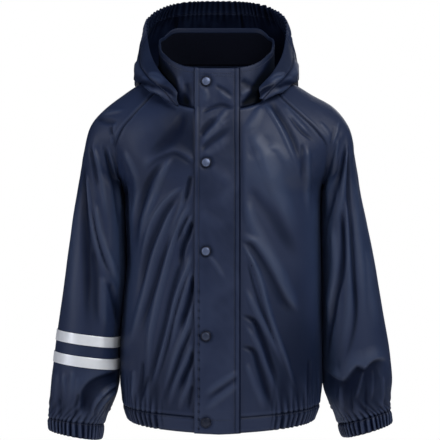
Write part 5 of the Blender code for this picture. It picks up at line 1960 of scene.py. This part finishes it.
@dataclass
class Hood:
    """The hood's three panels and its gathered edge."""

    form: CoatForm
    starts: tuple = (6.0, 198.5)
    seams: tuple = (90.0, 116.0)
    wall_rows: int = 76
    band_rows: int = 14
    side_columns: int = 117
    centre_columns: int = 61
    edge_columns: int = 481
    stitch_line: float = 0.0018
    seam_depth: float = 0.0010
    gathers: Gathers = Gathers(length=0.0078, depth=0.0017, seed=37, reach=0.045)
    stitches: Stitching = field(default_factory=lambda: Stitching("stitching_hood"))

    def part(self, name: str, first: float, last: float, columns: int, rows: slice, band: bool) -> None:
        """Build one piece of the hood.

        Args:
            name: the piece's name.
            first: place where it begins.
            last: place where it ends.
            columns: how many columns it has, an odd number.
            rows: which rows of the whole grid it takes.
            band: whether it is the elasticated edge.
        """
        places = np.linspace(first, last, columns)
        whole = self.form.hood(places, self.band_rows, self.wall_rows)
        whole = self.pinched(whole, places)
        normals = grid_normals(whole)
        line = whole[self.band_rows]
        marks = np.linspace(*self.starts, self.edge_columns)
        run = np.interp(places, marks, lengths_along(self.form.hood(marks, 1, 1)[1]))[None, :]
        depth = column_runs(whole)
        above = depth - depth[self.band_rows][None, :]
        x, z = abs(line[:, 0]), line[:, 2]
        strength = smoothstep(0.048, 0.085, z) + 0.7 * smoothstep(0.050, 0.085, x)
        strength = strength * smoothstep(0.048, 0.070, z)
        height = self.gathers.height(run, above) * strength[None, :]
        # painted light from the gathers: painted shade in their troughs and a little all over, painted
        # highlight on their crests
        relief = height / 0.0020 - 0.35
        # painted shade on the hood's inner face, darker towards its sides, in the gathers' troughs and along
        # its seams
        inside = -0.70 - 0.22 * smoothstep(0.035, 0.075, abs(whole[..., 0]))
        inside -= 0.3 * np.clip(height / 0.0016, -1.0, 1.0)
        fold = crumples(whole)
        if band:
            share = np.clip(-above / self.form.hood_band, 0.0, 1.0)
            fold = fold * window(share, 0.0, 0.12, 0.75, 1.0)
            height += fold + 0.0008 * np.sin(np.pi * share) - 0.0007 * (1.0 - smoothstep(0.0, 0.003, -above))
            relief += fold / 0.0015
        else:
            slow = SmoothNoise(83).at(run / 0.060, above / 0.050) * 0.0022
            sharp = 0.0016 * (0.25 - abs(SmoothNoise(84).at(run / 0.022 + above / 0.05, above / 0.030)))
            edge = np.minimum(above, depth[-1:] - depth)
            side = np.minimum(run - run[:, :1], run[:, -1:] - run)
            soft = (slow + sharp + fold) * smoothstep(0.0, 0.014, edge)
            dip = (1.0 - smoothstep(0.0, 0.0035, np.minimum(edge, side))) ** 1.5
            height += soft - self.seam_depth * dip
            # painted light of the soft folds and crumples, with painted shade in the seam dips
            relief += soft / 0.0026 + fold / 0.0040 - 0.5 * dip
            inside -= 0.6 * (1.0 - smoothstep(0.0012, 0.0034, side))
        sheet = ClothSheet(
            name,
            whole[rows],
            normals[rows],
            height[rows],
            step=1,
            shift=self.form,
            relief=np.tanh(relief[rows]),
            inside=inside[rows],
        )
        sheet.build(SATIN, "shell")
        if band:
            self.stitches.run(*read_line(sheet.outer(), -self.stitch_line, 1.0))

    def pinched(self, whole: Array, places: Array) -> Array:
        """The hood's grid with its rolled edge pressed together towards both front corners.

        Args:
            whole: the grid.
            places: the place of each column.

        Returns:
            The grid, with each column near a corner drawn towards its own middle.
        """
        near = np.minimum(places - self.starts[0], self.starts[1] - places)
        size = 0.34 + 0.66 * smoothstep(-1.0, 9.0, near)
        middle = whole.mean(axis=0, keepdims=True)
        return middle + (whole - middle) * size[None, :, None]

    def build(self) -> None:
        """Build the hood."""
        wall = slice(self.band_rows, None)
        band = slice(0, self.band_rows + 1)
        self.part("hood_side_left", self.starts[0], self.seams[0], self.side_columns, wall, False)
        self.part("hood_centre", *self.seams, self.centre_columns, wall, False)
        self.part("hood_side_right", self.seams[1], self.starts[1], self.side_columns, wall, False)
        self.part("hood_edge", *self.starts, self.edge_columns, band, True)
        self.stitches.build(THREAD, "shell")


def crumples(whole: Array) -> Array:
    """Crumples of the hood by its front corners and over the shoulders."""
    x, z = abs(whole[..., 0]), whole[..., 2]
    front = 1.0 - smoothstep(0.0, 0.06, whole[..., 1])
    return crease_height(HOOD_CREASES, x, z) * front


@dataclass
class StormFlap:
    """The flap over the front closing, with its creases, turned edges and rows of stitches.

    Lengths are in metres. A dip is its depth, then the distances between which it runs out; edge_dip has
    the far one only.
    """

    form: CoatForm
    free_x: float = -0.0338
    sewn_x: float = 0.0299
    lay: float = 0.0012
    wall: float = 0.0020
    spacing: float = 0.0016
    stud_x: float = -0.0173
    stud_z: tuple = (0.0030, -0.1120, -0.2350, -0.3530, -0.4720)
    stud_dip: tuple = (0.0010, 0.0070, 0.0125)
    edge: float = 0.0030
    edge_dip: tuple = (0.0008, 0.0028)
    stitch_dip: tuple = (0.00035, 0.0004, 0.0022)
    stitch_shades: tuple = (0.25, 0.4, 0.8)
    cross_stitches: tuple = (0.0075, 0.0115, -0.0205)
    pucker: float = 0.0004
    pucker_pitch: float = 0.0118
    smoothings: int = 12
    stitches: Stitching = field(default_factory=lambda: Stitching("stitching_flap"))

    def base(self) -> Array:
        """Surface under the flap: the collar's front, then the fronts."""
        form = self.form
        width = self.sewn_x - self.free_x
        columns = self.free_x + width * spaced(width, self.spacing, self.edge)
        fine = np.linspace(0.0, 1.0, form.fine)
        rises = np.linspace(1.0, 0.0, 31)[:-1]
        levels = np.linspace(0.0, form.hem_end, 307)
        right, left = (form.panel(side, levels, fine) for side in (Side.RIGHT, Side.LEFT))
        collar = [form.ring_arc(0.0, 60.0, rise) for rise in rises]
        pairs = [(line, line) for line in collar] + list(zip(right, left))
        grid = []
        for near, far in pairs:
            row = []
            for x in columns:
                line = near if x < 0.0 else far
                row.append([x] + [np.interp(abs(x), line[:, 0], line[:, axis]) for axis in (1, 2)])
            grid.append(row)
        return np.array(grid)

    def build(self) -> None:
        """Build the flap and its stitches."""
        base = self.base()
        normals = grid_normals(base)
        for _ in range(self.smoothings):
            normals[1:-1] = unit(normals[:-2] + normals[1:-1] * 2.0 + normals[2:])
        x, z = base[..., 0], base[..., 2]
        across, down = row_runs(base), column_runs(base)
        height = crease_height(FLAP_CREASES, x, z)
        height += 0.0007 * SmoothNoise(91).at(x / 0.030, z / 0.055)
        height += 0.0005 * (0.25 - abs(SmoothNoise(92).at(x / 0.016 + z / 0.05, z / 0.024)))
        free = 1.0 - smoothstep(0.0, 0.016, across)
        height += free * 0.0011 * (0.5 + SmoothNoise(93).at(0.0, z / 0.034))
        for stud in self.stud_z:
            radius = np.hypot(x - self.stud_x, z - stud)
            height -= self.stud_dip[0] * (1.0 - smoothstep(*self.stud_dip[1:], radius))
        near = np.minimum(np.minimum(across, across[:, -1:] - across), np.minimum(down, down[-1:] - down))
        height -= self.edge_dip[0] * (1.0 - smoothstep(0.0, self.edge_dip[1], near)) ** 1.5
        lines = (self.free_x + 0.0062, self.sewn_x - 0.0078, self.sewn_x - 0.0012)
        for place in lines:
            height -= self.stitch_dip[0] * (1.0 - smoothstep(*self.stitch_dip[1:], abs(x - place)))
        # painted shade over the flap's upper part
        shaded = 0.22 * window(z, -0.250, -0.200, -0.070, -0.020)
        pull = np.sin(2.0 * np.pi * (z / self.pucker_pitch + 0.6 * SmoothNoise(94).at(z / 0.05, 0.0)))
        pucker = smoothstep(0.25, 0.95, pull) * np.exp(-(((x - lines[0]) / 0.0014) ** 2))
        pucker *= window(z, -0.505, -0.480, -0.310, -0.250)
        height -= self.pucker * pucker
        # painted light of the flap's creases, with painted shade in the pucker dents and along each stitch
        # line
        relief = np.tanh(height / 0.0024 - shaded) - 0.9 * pucker
        for place, dark in zip(lines, self.stitch_shades):
            relief -= dark * np.exp(-(((x - place) / 0.0010) ** 2))
        sheet = ClothSheet(
            "storm_flap", base, normals, height + self.lay + self.wall, wall=self.wall, relief=relief
        )
        sheet.build(SATIN, "shell")
        for place in lines[:2]:
            self.stitches.run(*sheet.line_down(place - self.free_x), 0.012, 0.992)
        for place in self.cross_stitches:
            self.stitches.run(*sheet.line_across(place), 0.10, 0.86)
        self.stitches.build(THREAD, "shell")
        PressStuds(sheet, self.stud_x, self.stud_z).build()


@dataclass
class PressStuds:
    """The caps of the flap's press studs."""

    flap: ClothSheet
    x: float
    heights: tuple
    profile: tuple = (
        (0.0, 2.70), (1.6, 2.66), (3.0, 2.50), (4.2, 2.20), (5.0, 1.86), (5.35, 1.66), (5.7, 1.62),
        (6.05, 1.72), (6.5, 1.68), (6.95, 1.38), (7.2, 0.95), (7.25, 0.45), (7.0, 0.10), (6.6, 0.0),
        (0.0, 0.0),
    )
    seat: float = 0.0002
    dome: float = 0.0056
    # painted light on each stud's dome: the two lowest studs painted darker, as painted shade
    tones: tuple = (0.9, 1.0, 1.1, 0.40, 0.24)
    steps: int = 48
    rim_soft: float = 0.0004

    def build(self) -> None:
        """Build each cap on the flap's outer face."""
        outer = self.flap.outer()
        normals = grid_normals(outer)
        column = int(np.argmin(abs(outer[0, :, 0] - self.x)))
        for number, z in enumerate(self.heights, start=1):
            row = int(np.argmin(abs(outer[:, column, 2] - z)))
            around = normals[max(0, row - 4) : row + 5, max(0, column - 3) : column + 4].reshape(-1, 3)
            up = unit(around.mean(axis=0))
            self.cap(f"snap_{number}", outer[row, column] + up * self.seat, up, self.tones[number - 1])

    def cap(self, name: str, place: Array, up: Array, dome_light: float) -> None:
        """Build one turned cap.

        Args:
            name: the name of its solid.
            place: the middle of its seat.
            up: the direction that it faces.
            dome_light: painted light on its dome, from 0, the darkest, to 1.
        """
        builder = bmesh.new()
        verts = [builder.verts.new((radius * MM, 0.0, height * MM)) for radius, height in self.profile]
        edges = [builder.edges.new(pair) for pair in zip(verts[:-1], verts[1:])]
        turned = {"cent": (0, 0, 0), "axis": (0, 0, 1), "angle": 2.0 * math.pi, "steps": self.steps}
        bmesh.ops.spin(builder, geom=verts + edges, **turned)
        bmesh.ops.remove_doubles(builder, verts=builder.verts, dist=0.00001)
        turn = Vector((0.0, 0.0, 1.0)).rotation_difference(Vector(up)).to_matrix().to_4x4()
        turn.translation = Vector(place)
        bmesh.ops.transform(builder, matrix=turn, verts=builder.verts)
        bmesh.ops.recalc_face_normals(builder, faces=builder.faces)
        piece = ride_along(built_object(f"{name}_cap", builder, STUD))
        piece.data.shade_smooth()
        seat, axis = Vector(place), Vector(up)
        radii = np.array([(vert.co - seat).cross(axis).length for vert in piece.data.vertices])
        # painted shadow ring: the cap darkens outside the dome's radius
        rim = smoothstep(self.dome - self.rim_soft, self.dome + self.rim_soft, radii)
        mark_relief(piece, dome_light * (1.0 - rim))
        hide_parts(name)


@dataclass
class Studio:
    """Floor, white surround, soft lights and the camera."""

    camera_place: tuple = (0.00145, -2.5, -0.1914)
    half_view: float = 0.319
    sensor: float = 36.0
    floor_z: float = -0.90
    floor_radius: float = 2.7
    dome_radius: float = 9.0

    def light(self, name: str, place: tuple, size: tuple, power: float, target: tuple, colour: str) -> None:
        """Add a soft rectangular light.

        Args:
            name: its name.
            place: where it hangs.
            size: its width and height, in metres.
            power: watts.
            target: the point that it faces.
            colour: its colour in hex.
        """
        lamp = bpy.data.lights.new(name, "AREA")
        lamp.shape = "RECTANGLE"
        lamp.size, lamp.size_y = size
        lamp.energy = power
        lamp.color = linear(colour)[:3]
        holder = add_object(name, lamp)
        holder.location = place
        holder.rotation_euler = (Vector(target) - Vector(place)).to_track_quat("-Z", "Y").to_euler()

    def floor(self) -> None:
        """Add the flat round floor."""
        builder = bmesh.new()
        bmesh.ops.create_circle(builder, cap_ends=True, segments=96, radius=self.floor_radius)
        floor = built_object("floor", builder, PaleFloor())
        floor.location = (0.0, 0.0, self.floor_z)

    def surround(self) -> None:
        """Add the white surround, which only the camera sees."""
        builder = bmesh.new()
        bmesh.ops.create_icosphere(builder, subdivisions=3, radius=self.dome_radius)
        dome = built_object("surround", builder, WhiteBackdrop())
        dome.visible_diffuse = dome.visible_glossy = dome.visible_shadow = dome.visible_transmission = False

    def build(self) -> None:
        """Build the studio."""
        scene = bpy.context.scene
        scene.view_settings.view_transform = "Standard"
        scene.view_settings.look = "None"
        world = bpy.data.worlds.new("soft_room")
        world.use_nodes = True
        world.node_tree.nodes["Background"].inputs["Color"].default_value = linear("#e6eaf5")
        world.node_tree.nodes["Background"].inputs["Strength"].default_value = 0.30
        world.cycles_visibility.glossy = False
        scene.world = world
        self.floor()
        self.surround()
        chest = (0.0, 0.0, -0.2)
        self.light("key_top", (1.3, -1.7, 1.65), (2.2, 1.4), 74.0, chest, "#ffffff")
        self.light("fill_left", (-2.4, -1.3, 0.7), (1.0, 1.8), 31.0, chest, "#f4f6ff")
        self.light("soft_back", (0.5, 2.3, 0.9), (2.0, 1.6), 22.0, chest, "#f4f6ff")
        camera = add_object("camera", bpy.data.cameras.new("camera"))
        camera.location = self.camera_place
        camera.rotation_euler = (math.pi / 2.0, 0.0, 0.0)
        camera.data.sensor_width = self.sensor
        camera.data.lens = self.sensor / 2.0 * abs(self.camera_place[1]) / self.half_view
        scene.camera = camera


def main() -> None:
    """Build the coat and its studio."""
    logging.basicConfig(level=logging.INFO, format="%(message)s")
    form = CoatForm()
    Studio().build()
    panels = Panels(form)
    panels.build()
    Tapes(panels).build()
    Collar(form).build()
    Hood(form).build()
    StormFlap(form).build()


if __name__ == "__main__":
    main()
